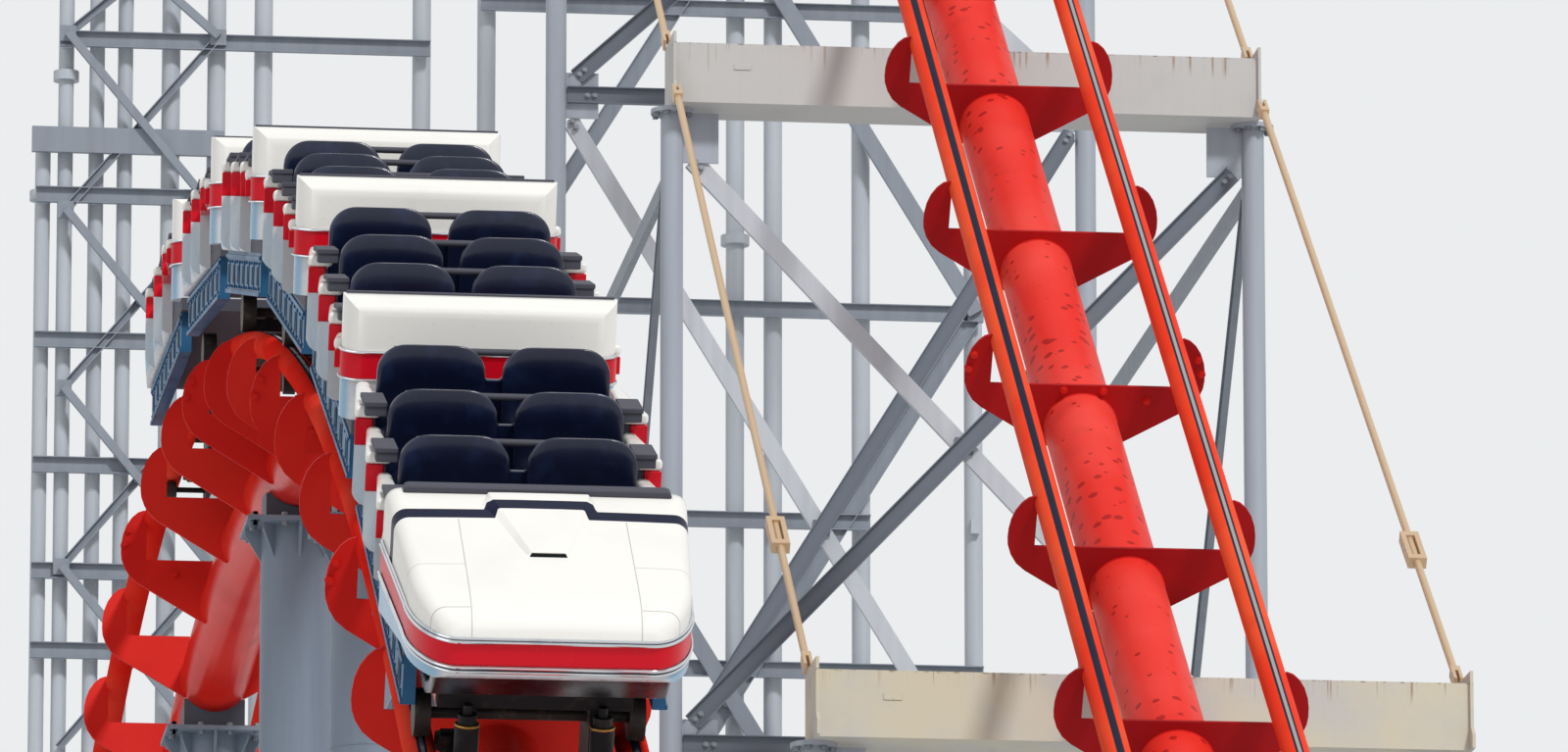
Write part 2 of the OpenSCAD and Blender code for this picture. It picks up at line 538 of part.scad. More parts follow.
// Wheels hang from carriers under the floor; each sits on the rail's own curve
axles = [[0, nose_axle_y], [0, axle_y], [1, axle_y], [2, axle_y], [3, axle_y], [4, axle_y], [5, axle_y]];
function sag(y) = hill_radius - sqrt(hill_radius * hill_radius - y * y);
function wheel_z(y) = sqrt(pow(hill_radius + rail_r + fit_gap + wheel_r, 2) - y * y) - hill_radius;
module at_axle(i) on_car(axles[i][0]) translate([0, axles[i][1], 0]) children();
module each_axle() for (i = [0 : 6]) at_axle(i) translate([0, 0, -sag(axles[i][1])]) children();
guide_r = 60;
guide_x = rail_x - rail_r - run_gap - guide_r;
stop_r = 55;
stop_z = -rail_r - run_gap - stop_r;
module wheel_carriers() color([0.09, 0.09, 0.11]) for (i = [0 : 6]) at_axle(i) {
    d = -sag(axles[i][1]);
    translate([-carrier_x, -70, beam_bottom - 80]) cube([2 * carrier_x, 140, 80]);
    both() {
        difference() {
            translate([carrier_x, -230, stop_z - 45 + d])
                cube([carrier_t, 460, beam_bottom - stop_z + 45 - d]);
            translate([carrier_x - 1, 0, wheel_z(axles[i][1])]) rotate([0, 90, 0])
                cylinder(h = carrier_t + 2, r = shaft_r + bore_gap);
        }
        for (y = [-170, 170], z = [42, -57]) translate([carrier_x + carrier_t, y - 30, z + d])
            cube([guide_x - carrier_x - carrier_t + 30, 60, 15]);
        translate([carrier_x + carrier_t, 0, stop_z + d]) rotate([0, 90, 0])
            cylinder(h = rail_x - 35 - carrier_x - carrier_t, r = 18);
    }
}
module guide_wheels() color([0.12, 0.12, 0.13]) each_axle() both() {
    for (y = [-170, 170]) translate([guide_x, y, -42]) cylinder(h = 84, r = guide_r);
    translate([rail_x - 35, 0, stop_z]) rotate([0, 90, 0]) cylinder(h = 70, r = stop_r);
}
module couplers() color([0.08, 0.08, 0.10]) for (k = [0 : cars - 2]) difference() {
    on_hill(first_car + k * car_step + 1983 / hill_radius * 180 / PI)
        translate([-45, -520, beam_bottom + 80]) cube([90, 1040, 80]);
    on_car(k) translate([-200, -2000, 0]) cube([400, 2000 + rear_y, 1000]);
    on_car(k + 1) translate([-200, front_y - 60, 0]) cube([400, 2000, 1000]);
}
module axle(i) color([0.10, 0.10, 0.11]) at_axle(i) translate([0, 0, wheel_z(axles[i][1])]) rotate([0, 90, 0]) {
    cylinder(h = 2 * rail_x - wheel_w, r = shaft_r, center = true);
    for (s = [-1, 1]) translate([0, 0, s * rail_x]) cylinder(h = wheel_w, r = wheel_r, center = true);
}
module axle_1() axle(0);
module axle_2() axle(1);
module axle_3() axle(2);
module axle_4() axle(3);
module axle_5() axle(4);
module axle_6() axle(5);
module axle_7() axle(6);

hill_spine();
hill_rails();
hill_tie_webs();
hill_tie_hooks();
track_saddles();
hill_columns();
column_gussets();
drop_spine();
drop_rails();
drop_tie_webs();
drop_tie_hooks();
cross_beams();
beam_end_plates();
bent_columns();
bent_bracing();
side_bracing();
far_columns();
far_bracing();
tie_rods();
base_plates();
nose_hood();
nose_band();
nose_bumper();
dash_bar();
fairings();
red_bands();
side_skirts();
side_caps();
car_floors();
chassis_panels();
chassis_beams();
seat_cushions();
seat_backs();
grab_rails();
arm_pads();
wheel_carriers();
guide_wheels();
couplers();
axle_1();
axle_2();
axle_3();
axle_4();
axle_5();
axle_6();
axle_7();
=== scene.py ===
"""Looks and fittings for a roller coaster section: a six-car train on a curved hill track, beside a braced
tower that carries a second, steep straight track. Laid out as an add-on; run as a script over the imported
model."""
from functools import partial
from math import atan, copysign, cos, degrees, pi, radians, sin, sqrt, tan

import bmesh
import bpy
import numpy as np
from bpy.props import FloatProperty, FloatVectorProperty, IntProperty, PointerProperty, StringProperty
from mathutils import Matrix, Vector


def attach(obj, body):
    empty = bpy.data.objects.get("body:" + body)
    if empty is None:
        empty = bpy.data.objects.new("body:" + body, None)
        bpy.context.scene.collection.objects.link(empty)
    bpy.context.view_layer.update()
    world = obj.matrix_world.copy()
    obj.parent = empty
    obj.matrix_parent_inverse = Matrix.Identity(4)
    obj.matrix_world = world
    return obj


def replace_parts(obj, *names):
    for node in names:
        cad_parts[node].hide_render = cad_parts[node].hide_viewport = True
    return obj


bl_info = {
    "name": "Roller coaster section",
    "version": (1, 0, 0),
    "blender": (4, 5, 0),
    "location": "3D View > Sidebar > Coaster",
    "description": "Paint, seats, trim, bolts, welds and studio for a coaster train and its track",
    "category": "Add Mesh",
}

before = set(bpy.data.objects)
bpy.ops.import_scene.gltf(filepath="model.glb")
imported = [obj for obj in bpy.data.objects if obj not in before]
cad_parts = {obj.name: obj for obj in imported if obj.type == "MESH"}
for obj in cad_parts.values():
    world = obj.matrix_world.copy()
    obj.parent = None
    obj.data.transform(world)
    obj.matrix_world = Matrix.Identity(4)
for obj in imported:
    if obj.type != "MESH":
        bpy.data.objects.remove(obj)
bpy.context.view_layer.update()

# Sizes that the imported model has, in metres and degrees: the hill's arc, the cars on it, the straight track and
# the tower. A bent is two tower columns with their box beam, and a tie a plate that joins rails and spine.
RADIUS, CREST_Y, CREST_Z = 37.2, 4.1, 18.9
ARC_Z = CREST_Z - RADIUS
SPINE_R, SPINE_DROP, SADDLE_H = 0.24, 0.6, 0.07
FIRST_TIE, TIE_STEP, HILL_TIES = 35.75, 3.145, 17
CARS, CAR_PITCH, BAND_Z, BAND_H = 6, 3.6, 0.94, 0.14
ROW_PITCH, TOOTH_TOP, TOOTH_RISE, CAP_H = 0.8, 1.04, 0.105, 0.067
FIRST_CAR = -29.47
CAR_STEP = degrees(CAR_PITCH / (RADIUS + BAND_Z))
CAR_W, ROWS, FLOOR_Z, TUB_X, BAND_X = 1.545, (-0.8, 0.0, 0.8), 0.64, 0.6775, 0.7455
FRONT_Y, REAR_Y, HOOD_Z, FAIRING_T = -1.24, 1.6, 1.31, 0.16
NOSE_X, NOSE_L, NOSE_DRAW, CORNER_X, CORNER_L = 0.7725, 1.45, 0.057, 0.235, 0.54
DROP_AT, DROP_SLOPE, DROP_PITCH, DROP_TIES = (5.18, -3.62, 16.156), 36.1, 2.555, 11
BEAM_X, BEAM_W, BEAM_H, BEAM_TOP = 5.24, 0.52, 0.43, 16.56
BENTS, BENT_Y, BAY, COLUMN_X = 3, -1.3, 8.4, 2.07
BENT_RISE = BAY * tan(radians(DROP_SLOPE))
HILL_COLUMNS, FLANGE_W, PLATE_T, COLUMN_R = (-20.8, -15.3, -9.75, -4.1, 3.45, 9.2), 0.68, 0.03, 0.23
# The hill columns whose base plates have open fixing holes
OPEN_HOLES = (0, 3, 5)
# Gusset levels: the first is below a beam's top, the others are a panel apart, on the last bent from a level
# of its own. The side bracing starts at a fixed level and ends below the beam's top.
LEVEL_DROP, PANEL_H, TALL_FIRST, TALL_PANEL_H, SIDE_LOW, SIDE_DROP = 0.63, 4.35, 24.4, 6.75, 2.4, 0.8
# Half a gusset's thickness, and how far out a channel's web stands on it
GUSSET_HALF, WEB_OUT = 0.010, 0.018
# Bolts' distances from the middle of a flange (outer and inner), a base, a column head and a bent's base
FLANGE_BOLT, FLANGE_INNER, BASE_BOLT, HEAD_BOLT_R, BENT_BASE_BOLT = 0.29, 0.1, 0.34, 0.122, 0.15
# Heights over a rail's middle between which paint turns to the dark worn strip, and that to its bright middle
DARK, BRIGHT = (0.0795, 0.0808), (0.0828, 0.0834)
# Half a seat's width, and the distance from a car's middle to a seat's
SEAT_HALF, SEAT_X = 0.288, 0.045 + 0.288
# How far the floor reaches, and the sky's strength as light and as the camera sees it
FLOOR_REACH, SKY_LIGHT, SKY_SEEN = 400, 0.42, 0.92
# The photograph's camera: its lens over a 36 mm wide picture, its place, and its tilt and turn in degrees
LENS, CAMERA_AT, CAMERA_TILT, CAMERA_TURN = 284.8, (-5.938, -77.46, 1.6), 12.424, -6.68

# What every length among the properties has
METRES = {"unit": "LENGTH", "subtype": "DISTANCE"}
# Node kinds that come often, each with its usual settings, and the stretches of a noise: none, and upright
RANGE, SMOOTH = "ShaderNodeMapRange", ("ShaderNodeMapRange", {"interpolation_type": "SMOOTHSTEP"})
NOISE, MIX, SPLIT, MOVED = "ShaderNodeTexNoise", "ShaderNodeMix", "ShaderNodeSeparateXYZ", "ShaderNodeMapping"
PLUS, MINUS, TIMES, SIZE_OF, SCALED_PLUS, FRACTION, WRAP, LARGER = (
    ("ShaderNodeMath", {"operation": operation}) for operation in
    ("ADD", "SUBTRACT", "MULTIPLY", "ABSOLUTE", "MULTIPLY_ADD", "FRACT", "WRAP", "MAXIMUM"))
VECTOR_MINUS, VECTOR_TIMES, LENGTH_OF, DOT = (
    ("ShaderNodeVectorMath", {"operation": operation}) for operation in
    ("SUBTRACT", "MULTIPLY", "LENGTH", "DOT_PRODUCT"))
EVEN, UPRIGHT = (1, 1, 1), (1, 1, 0.06)


class CoasterSizes(bpy.types.PropertyGroup):
    bolt: FloatProperty(name="Bolt head", description="Width across the flats of the structural bolts",
                        default=0.036, min=0.02, max=0.06, **METRES)
    weld: FloatProperty(name="Weld bead", description="Radius of the fillet welds at the ties",
                        default=0.007, min=0.002, max=0.015, **METRES)
    bead: FloatProperty(name="Chrome bead", description="Radius of the chrome trim beads on the cars",
                        default=0.0075, min=0.003, max=0.012, **METRES)
    edge: FloatProperty(name="Moulded edge", description="Radius of the moulded car panels' rounded edges",
                        default=0.02, min=0.004, max=0.04, **METRES)
    dish: FloatProperty(name="Seat dish", description="How far a seat back is hollowed",
                        default=0.035, min=0.0, max=0.05, **METRES)
    splice: IntProperty(name="Ties per splice", default=3, min=2, max=8,
                        description="Every so many ties the track sections are bolted together")


class CoasterColours(bpy.types.PropertyGroup):
    enamel: StringProperty(name="Track enamel", description="sRGB hex of the track's red", default="E5342A")
    grey: StringProperty(name="Column coat", description="sRGB hex of the columns' grey", default="A3ABB5")
    shell: StringProperty(name="Shell", description="sRGB hex of the cars' white shells", default="F1EFE9")
    stripe: StringProperty(name="Stripe", description="sRGB hex of the navy stripe", default="0F1530")
    band: StringProperty(name="Band", description="sRGB hex of the cars' red band", default="D40A22")
    floor: FloatVectorProperty(name="Floor", description="Linear colour of the studio floor", subtype="COLOR",
                               size=3, default=(0.80, 0.80, 0.80), min=0.0, max=1.0)


# ---- Places ----
def on_hill(angle):
    """A frame on the hill's arc, by its angle from the crest in degrees."""
    turn = Matrix.Rotation(radians(-angle), 4, "X")
    return Matrix.Translation((0, CREST_Y, ARC_Z)) @ turn @ Matrix.Translation((0, 0, RADIUS))


def on_car(number):
    """A car's own frame: x across, -y ahead, z up from the rails' middle."""
    return on_hill(FIRST_CAR + number * CAR_STEP)


def on_drop(along):
    """A frame on the straight track, by its distance up the slope."""
    turn = Matrix.Rotation(radians(DROP_SLOPE), 4, "X")
    return Matrix.Translation(DROP_AT) @ turn @ Matrix.Translation((0, along, 0))


def beam_z(bent):
    return BEAM_TOP + bent * BENT_RISE


def bent_y(bent):
    return BENT_Y + bent * BAY


def flange_z(y):
    """Height of a hill column's top flange, under the spine's saddle."""
    under = ARC_Z + sqrt((RADIUS - SPINE_DROP - SPINE_R) ** 2 - y * y)
    return under - SADDLE_H - FLANGE_W / 2 * abs(y) / sqrt((RADIUS - SPINE_DROP) ** 2 - y * y)


def tie_places(step=1):
    """Where the ties of both tracks stand, or every so many of them."""
    return ([on_hill(-FIRST_TIE + i * TIE_STEP) for i in range(0, HILL_TIES, step)] +
            [on_drop((i - 1) * DROP_PITCH) for i in range(0, DROP_TIES, step)])


# ---- Shapes ----
class Shape:
    """The corners and faces of one piece, gathered part by part."""

    def __init__(self):
        self.corners, self.faces = [], []

    def put(self, corners, faces, place=None):
        first = len(self.corners)
        self.corners += [tuple(place @ Vector(c)) if place else tuple(c) for c in corners]
        self.faces += [tuple(first + i for i in face) for face in faces]

    def box(self, low, high, place=None):
        (x0, x1), (y0, y1), (z0, z1) = (sorted(pair) for pair in zip(low, high))
        corners = [(x0, y0, z0), (x1, y0, z0), (x1, y1, z0), (x0, y1, z0),
                   (x0, y0, z1), (x1, y0, z1), (x1, y1, z1), (x0, y1, z1)]
        faces = [(0, 3, 2, 1), (4, 5, 6, 7), (0, 1, 5, 4), (1, 2, 6, 5), (2, 3, 7, 6), (3, 0, 4, 7)]
        self.put(corners, faces, place)

    def plate(self, outline, start, end, place, axis):
        """A flat outline in y and z, or in x and z, given a thickness from start to end along axis x or y."""
        n = len(outline)
        corners = [(at, a, b) if axis == "x" else (a, at, b)
                   for at in sorted((start, end)) for a, b in outline]
        sides = [(i, (i + 1) % n, n + (i + 1) % n, n + i) for i in range(n)]
        self.put(corners, [tuple(reversed(range(n))), tuple(range(n, 2 * n))] + sides, place)

    def grid(self, rows, place=None, ring=False, caps=False):
        """A skin over rows of points; ring closes each row on itself, caps closes the first and last rows."""
        n = len(rows[0])
        corners = [p for row in rows for p in row]
        span = n if ring else n - 1
        faces = [(r * n + i, r * n + (i + 1) % n, (r + 1) * n + (i + 1) % n, (r + 1) * n + i)
                 for r in range(len(rows) - 1) for i in range(span)]
        if caps:
            faces += [tuple(reversed(range(n))), tuple((len(rows) - 1) * n + i for i in range(n))]
        self.put(corners, faces, place)

    def tube(self, path, radius, sides=10, place=None, closed=False):
        """A round bar along a path of points."""
        path = [Vector(p) for p in path]
        n, rows, side = len(path), [], None
        for i, point in enumerate(path):
            if closed:
                along = (path[(i + 1) % n] - path[i - 1]).normalized()
            else:
                along = (path[min(i + 1, n - 1)] - path[max(i - 1, 0)]).normalized()
            if side is None:
                side = along.orthogonal().normalized()
            side = (side - along * side.dot(along)).normalized()
            other = along.cross(side)
            r = radius[i] if isinstance(radius, (list, tuple)) else radius
            rows.append([point + r * (cos(a) * side + sin(a) * other)
                         for a in (2 * pi * k / sides for k in range(sides))])
        if closed:
            rows.append(rows[0])
        self.grid(rows, place, ring=True, caps=not closed)

    def ring(self, centre, axis, radius, thick, place=None, sides=8, steps=36):
        """A round bead on a circle about an axis."""
        axis = Vector(axis).normalized()
        u = axis.orthogonal().normalized()
        v = axis.cross(u)
        self.tube([Vector(centre) + radius * (cos(t) * u + sin(t) * v)
                   for t in (2 * pi * k / steps for k in range(steps))], thick, sides, place, closed=True)

    def mesh(self, name):
        made = bpy.data.meshes.new(name)
        made.from_pydata(self.corners, [], self.faces)
        return made


def linked(name, data):
    """A new object in the scene."""
    made = bpy.data.objects.new(name, data)
    bpy.context.scene.collection.objects.link(made)
    return made


def finished(name, shape, finish, body, bevel=0.0, segments=3, sharp=35):
    """Turn a Shape into a piece that rides on a body, with its finish, rounded edges and shading."""
    mesh = shape.mesh(name)
    work = bmesh.new()
    work.from_mesh(mesh)
    bmesh.ops.remove_doubles(work, verts=work.verts, dist=1e-5)
    bmesh.ops.recalc_face_normals(work, faces=work.faces)
    work.to_mesh(mesh)
    work.free()
    return placed(name, mesh, finish, body, bevel, segments, sharp)


def placed(name, mesh, finish, body, bevel=0.0, segments=3, sharp=35):
    """Add a mesh to the scene as a piece of the object."""
    mesh.materials.clear()
    mesh.materials.append(bpy.data.materials[finish])
    mesh.shade_smooth()
    mesh.set_sharp_from_angle(angle=radians(sharp))
    piece = linked(name, mesh)
    if bevel:
        soft = piece.modifiers.new("Rounded edges", "BEVEL")
        soft.width, soft.segments = bevel, segments
        soft.limit_method, soft.angle_limit = "ANGLE", radians(sharp)
        soft.use_clamp_overlap = True
        soft.harden_normals = True
    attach(piece, body)
    return piece


def dressed(node, finish, body, bevel, segments=3, sharp=35):
    """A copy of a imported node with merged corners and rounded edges, which stands for that node."""
    work = bmesh.new()
    work.from_mesh(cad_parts[node].data)
    bmesh.ops.remove_doubles(work, verts=work.verts, dist=2e-5)
    bmesh.ops.dissolve_limit(work, angle_limit=radians(0.5), verts=work.verts, edges=work.edges,
                             delimit={"NORMAL"})
    mesh = bpy.data.meshes.new(node + "_dressed")
    work.to_mesh(mesh)
    work.free()
    piece = placed(node + "_dressed", mesh, finish, body, bevel, segments, sharp)
    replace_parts(piece, node)
    return piece


def add_node(tree, kind, links=(), out=0, **settings):
    """Add one node to a tree and hand back its output named out, or the node itself for None. kind is a node's
    type, alone or with its usual settings; links give the inputs, by name or in order, a value or another
    output."""
    kind, usual = kind if isinstance(kind, tuple) else (kind, {})
    made = tree.nodes.new(kind)
    for name, value in {**usual, **settings}.items():
        setattr(made, name, value)
    for name, value in links.items() if isinstance(links, dict) else enumerate(links):
        if isinstance(value, bpy.types.NodeSocket):
            tree.links.new(value, made.inputs[name])
        else:
            made.inputs[name].default_value = value
    return made if out is None else made.outputs[out]


def plain_copy(piece):
    """The evaluated mesh of an object whose modifiers built it."""
    graph = bpy.context.evaluated_depsgraph_get()
    return bpy.data.meshes.new_from_object(piece.evaluated_get(graph))


def points_object(name, spots, **attributes):
    mesh = bpy.data.meshes.new(name)
    mesh.from_pydata([tuple(s) for s in spots], [], [])
    for key, values in attributes.items():
        values = np.asarray(values, dtype=float)
        kind = "FLOAT_VECTOR" if values.ndim == 2 else "FLOAT"
        layer = mesh.attributes.new(key, kind, "POINT")
        layer.data.foreach_set("vector" if values.ndim == 2 else "value", values.ravel())
    return linked(name, mesh)


def copier(name, **sockets):
    """A new tree that takes points, a finish and what else is named, as (kind, default)."""
    tree = bpy.data.node_groups.new(name, "GeometryNodeTree")
    sockets = {"Points": ("Geometry", None), **sockets, "Finish": ("Material", None)}
    for label, (kind, default) in sockets.items():
        socket = tree.interface.new_socket(label.replace("_", " "), in_out="INPUT",
                                           socket_type="NodeSocket" + kind)
        if default is not None:
            socket.default_value = default
    tree.interface.new_socket("Copies", in_out="OUTPUT", socket_type="NodeSocketGeometry")
    return tree, add_node(tree, "NodeGroupInput", out=None).outputs


def ended(tree, given, item, turn):
    """Put the item on each point, turned, make the copies real and give them the finish."""
    copies = add_node(tree, "GeometryNodeInstanceOnPoints",
                      {"Points": given["Points"], "Instance": item, "Rotation": turn})
    real = add_node(tree, "GeometryNodeRealizeInstances", (copies,))
    painted = add_node(tree, "GeometryNodeSetMaterial", {"Geometry": real, "Material": given["Finish"]})
    add_node(tree, "NodeGroupOutput", (painted,), None)
    return tree


def bolt_tree():
    """Hex bolt heads on washers, one on each point, turned to the point's aim."""
    tree, given = copier("Hex bolts on points", Across_flats=("Float", 0.036), Head_height=("Float", 0.022),
                         Washer_thickness=("Float", 0.004))
    both = add_node(tree, "GeometryNodeJoinGeometry", out=None)
    flats, head, washer = given["Across flats"], given["Head height"], given["Washer thickness"]
    # A head's radius is 0.577 of its width across flats, a washer's 0.8; the head stands on the washer
    for sides, wide, tall, base in ((6, 0.577, head, washer), (14, 0.8, washer, 0.0)):
        radius = add_node(tree, TIMES, (flats, wide))
        round_bar = add_node(tree, "GeometryNodeMeshCylinder",
                             {"Vertices": sides, "Radius": radius, "Depth": tall})
        up = add_node(tree, "ShaderNodeCombineXYZ", {"Z": add_node(tree, SCALED_PLUS, (tall, 0.5, base))})
        raised = add_node(tree, "GeometryNodeTransform", {"Geometry": round_bar, "Translation": up})
        tree.links.new(raised, both.inputs[0])
    aim = add_node(tree, "GeometryNodeInputNamedAttribute", {"Name": "aim"}, "Attribute",
                   data_type="FLOAT_VECTOR")
    turn = add_node(tree, "FunctionNodeAlignRotationToVector", {"Vector": aim}, axis="Z")
    return ended(tree, given, both.outputs[0], turn)


def copies_tree():
    """Copies of one item, one on each point, tipped about the cross axis by the point's tilt."""
    tree, given = copier("Copies along the train", Item=("Object", None))
    item = add_node(tree, "GeometryNodeObjectInfo", {"Object": given["Item"], "As Instance": True}, "Geometry")
    tilt = add_node(tree, "GeometryNodeInputNamedAttribute", {"Name": "tilt"}, "Attribute", data_type="FLOAT")
    euler = add_node(tree, "ShaderNodeCombineXYZ", {"X": tilt})
    return ended(tree, given, item, add_node(tree, "FunctionNodeEulerToRotation", (euler,)))


def grown(name, points, tree, values, body, finish, sharp=35):
    """Run a node tree on points and keep its result as a plain mesh that rides on a body."""
    grow = points.modifiers.new("Grow", "NODES")
    grow.node_group = tree
    for item in tree.interface.items_tree:
        if getattr(item, "in_out", "") == "INPUT" and item.name in values:
            grow[item.identifier] = values[item.name]
    mesh = plain_copy(points)
    points.modifiers.remove(grow)
    bpy.data.objects.remove(points)
    mesh.name = name
    return placed(name, mesh, finish, body, sharp=sharp)


def bolts(name, spots, finish, body="structure", across=None, height=0.022):
    """spots: pairs of a place and the direction that a bolt head faces."""
    flats = across or bpy.context.scene.coaster_sizes.bolt
    points = points_object(name + "_points", [s for s, _ in spots], aim=[tuple(a) for _, a in spots])
    tree = bpy.data.node_groups.get("Hex bolts on points") or bolt_tree()
    return grown(name, points, tree, {"Across flats": flats, "Head height": height, "Washer thickness": 0.005,
                                      "Finish": bpy.data.materials[finish]}, body, finish)


def along_train(name, item, places, finish):
    """Copies of an item at (car, x, y, z) places of the train."""
    spots, tilts = [], []
    for car, x, y, z in places:
        spots.append(on_car(car) @ Vector((x, y, z)))
        tilts.append(-radians(FIRST_CAR + car * CAR_STEP))
    points = points_object(name + "_points", spots, tilt=tilts)
    tree = bpy.data.node_groups.get("Copies along the train") or copies_tree()
    values = {"Item": item, "Finish": bpy.data.materials[finish]}
    made = grown(name, points, tree, values, "train", finish, 50)
    bpy.data.objects.remove(item)
    return made


# ---- Finishes ----
def linear(text):
    """sRGB hex to a linear RGBA colour."""
    parts = [int(text[i:i + 2], 16) / 255 for i in (0, 2, 4)]
    return tuple(p / 12.92 if p <= 0.04045 else ((p + 0.055) / 1.055) ** 2.4 for p in parts) + (1.0,)


def finish(name, base, layers=(), rough=(0.4, 0.2, 0.1), bump=(0.02, 0.0008, 0.5), metallic=0.0, coat=0.0,
           specular=0.4, sunk=None):
    """Make one finish. Each layer, (hex, strength, cloud, mask), lays a colour over the last: where the cloud's
    noise, (lumps in metres, low, high, stretch), runs from low to high, and where the mask, a function, lets
    it. rough is (least, spread, lumps), bump is (lumps, depth, strength), and sunk a mask of sunken lines."""
    made = bpy.data.materials.new(name)
    made.use_nodes = True
    tree = made.node_tree
    node, shader = partial(add_node, tree), tree.nodes["Principled BSDF"]
    for socket, value in (("Metallic", metallic), ("Coat Weight", coat), ("Coat Roughness", 0.08),
                          ("Specular IOR Level", specular)):
        shader.inputs[socket].default_value = value
    place = node("ShaderNodeTexCoord", out="Object")
    colour = linear(base)
    for tone, amount, cloud, *mask in layers:
        if cloud:
            lumps, low, high, stretch = (*cloud, EVEN)[:4]
            moved = node(MOVED, {"Vector": place, "Scale": stretch})
            cloud = node(NOISE, {"Vector": moved, "Scale": 1 / lumps, "Detail": 4.0})
            amount = node(SMOOTH, (cloud, low, high, 0.0, amount))
        if mask:
            amount = node(TIMES, (mask[0](node, place), amount))
        colour = node(MIX, {0: amount, 6: colour, 7: linear(tone)}, 2, data_type="RGBA")
    cloud = node(NOISE, {"Vector": place, "Scale": 1 / rough[2], "Detail": 4.0})
    dull = node(SCALED_PLUS, (cloud, rough[1], rough[0]))
    grain = node(NOISE, {"Vector": place, "Scale": 1 / bump[0], "Detail": 3.0})
    if sunk:
        grain = node(SCALED_PLUS, (sunk(node, place), -3.0, grain))
    raised = node("ShaderNodeBump", {"Height": grain, "Distance": bump[1], "Strength": bump[2]})
    for value, socket in ((colour, "Base Color"), (dull, "Roughness"), (raised, "Normal")):
        tree.links.new(value, shader.inputs[socket])


def touched_up(node, place):
    """Ragged round spots of 20 to 60 mm, where rust was brushed over with darker paint."""
    near = node("ShaderNodeTexVoronoi", {"Vector": place, "Scale": 8.5}, "Distance", feature="F1")
    fray = node(NOISE, {"Vector": place, "Scale": 50.0, "Detail": 2.0})
    cloud = node(NOISE, {"Vector": place, "Scale": 1.1, "Detail": 3.0})
    ragged = node(SCALED_PLUS, (fray, 0.16, near))
    return node(SMOOTH, (node(SCALED_PLUS, (cloud, -0.52, ragged)), 0.05, 0.0))


def hill_rise(node, place):
    """Height over the middle of the hill's rails, square to the arc."""
    away = node(VECTOR_MINUS, (place, (0, CREST_Y, ARC_Z)))
    flat = node(VECTOR_TIMES, (away, (0, 1, 1)))
    return node(MINUS, (node(LENGTH_OF, (flat,), "Value"), RADIUS))


def drop_rise(node, place):
    """Height over the middle of the straight track's rails, square to the slope."""
    away = node(VECTOR_MINUS, (place, DROP_AT))
    return node(DOT, (away, on_drop(0).to_3x3() @ Vector((0, 0, 1))), "Value")


def worn_strip(rise, low, high):
    """The strip along a rail's top that the wheels wear."""
    return lambda node, place: node(SMOOTH, (rise(node, place), low, high))


def right_strip(node, place):
    """The worn strip of the straight track's right rail alone."""
    across = node(SPLIT, (place,), "X")
    right = node(SMOOTH, (across, DROP_AT[0] - 0.01, DROP_AT[0] + 0.01))
    return node(TIMES, (worn_strip(drop_rise, *BRIGHT)(node, place), right))


def below_beam_top(node, place):
    """Depth below a box beam's top face, in metres. The beams are a rise apart, and 2.9999 in place of 3 keeps
    the top face itself near a depth of 0."""
    height = node(SPLIT, (place,), "Z")
    level = node(SCALED_PLUS, (height, 1 / BENT_RISE, 2.9999 - BEAM_TOP / BENT_RISE))
    return node(SCALED_PLUS, (node(FRACTION, (level,)), -BENT_RISE, BENT_RISE))


def rust_runs(node, place):
    """Narrow runs of uneven length that hang from a beam's top edge."""
    tall = node(MOVED, {"Vector": place, "Scale": (1, 1, 0.02)})
    lines = node(NOISE, {"Vector": tall, "Scale": 45.0, "Detail": 3.0})
    thin = node(SMOOTH, (lines, 0.55, 0.72))
    cloud = node(NOISE, {"Vector": tall, "Scale": 3.3, "Detail": 2.0})
    reach = node(SCALED_PLUS, (cloud, 0.55, -0.14))
    left = node(MINUS, (reach, below_beam_top(node, place)))
    return node(TIMES, (thin, node(SMOOTH, (left, 0.0, 0.12))))


def top_edge(node, place):
    """The first 15 mm below a beam's top face."""
    return node(SMOOTH, (below_beam_top(node, place), 0.016, 0.004))


def lowest_beam(node, place):
    """The lowest beam and its end plates."""
    return node(RANGE, (node(SPLIT, (place,), "Z"), BEAM_TOP + 1, BEAM_TOP + 0.5))


def front_channel_shade(node, place):
    """The channels that lie in front of a bent's gussets, painted darker as painted shade for the shadow inside
    them.
    """
    local = node(MINUS, (node(SPLIT, (place,), "Y"), bent_y(0)))
    near = node(WRAP, (local, BAY / 2, -BAY / 2))
    return node(RANGE, (near, -0.0095, -0.0099))


def not_sideways(node, place):
    """Faces that don't look out to the sides, which stay silver; the sides carry a painted reflection of the blue
    sky.
    """
    normal = node("ShaderNodeTexCoord", out="Normal")
    side = node(SIZE_OF, (node(SPLIT, (normal,), "X"),))
    return node(SMOOTH, (side, 0.85, 0.55))


def nose_axes(node, place):
    """Distances from the nose's middle and ahead of its dash."""
    here = on_car(0)
    local = node(MOVED, {"Vector": place, "Location": here.to_translation(), "Rotation": here.to_euler()},
                 vector_type="TEXTURE")
    parts = node(SPLIT, (local,), None).outputs
    return node(SIZE_OF, (parts["X"],)), node(MINUS, (FRONT_Y, parts["Y"]))


def stripe_mask(node, place):
    """The navy stripe: 0.27 to 0.37 m ahead of the dash, by two slants 62 mm further back over the scoop."""
    across, ahead = nose_axes(node, place)
    slant = node(SCALED_PLUS, (ahead, 0.5, across))
    lane = node(PLUS, (ahead, node(RANGE, (slant, 0.425, 0.375, 0.0, 0.062))))
    off = node(SIZE_OF, (node(MINUS, (lane, 0.32)),))
    return node(SMOOTH, (off, 0.0515, 0.0485))


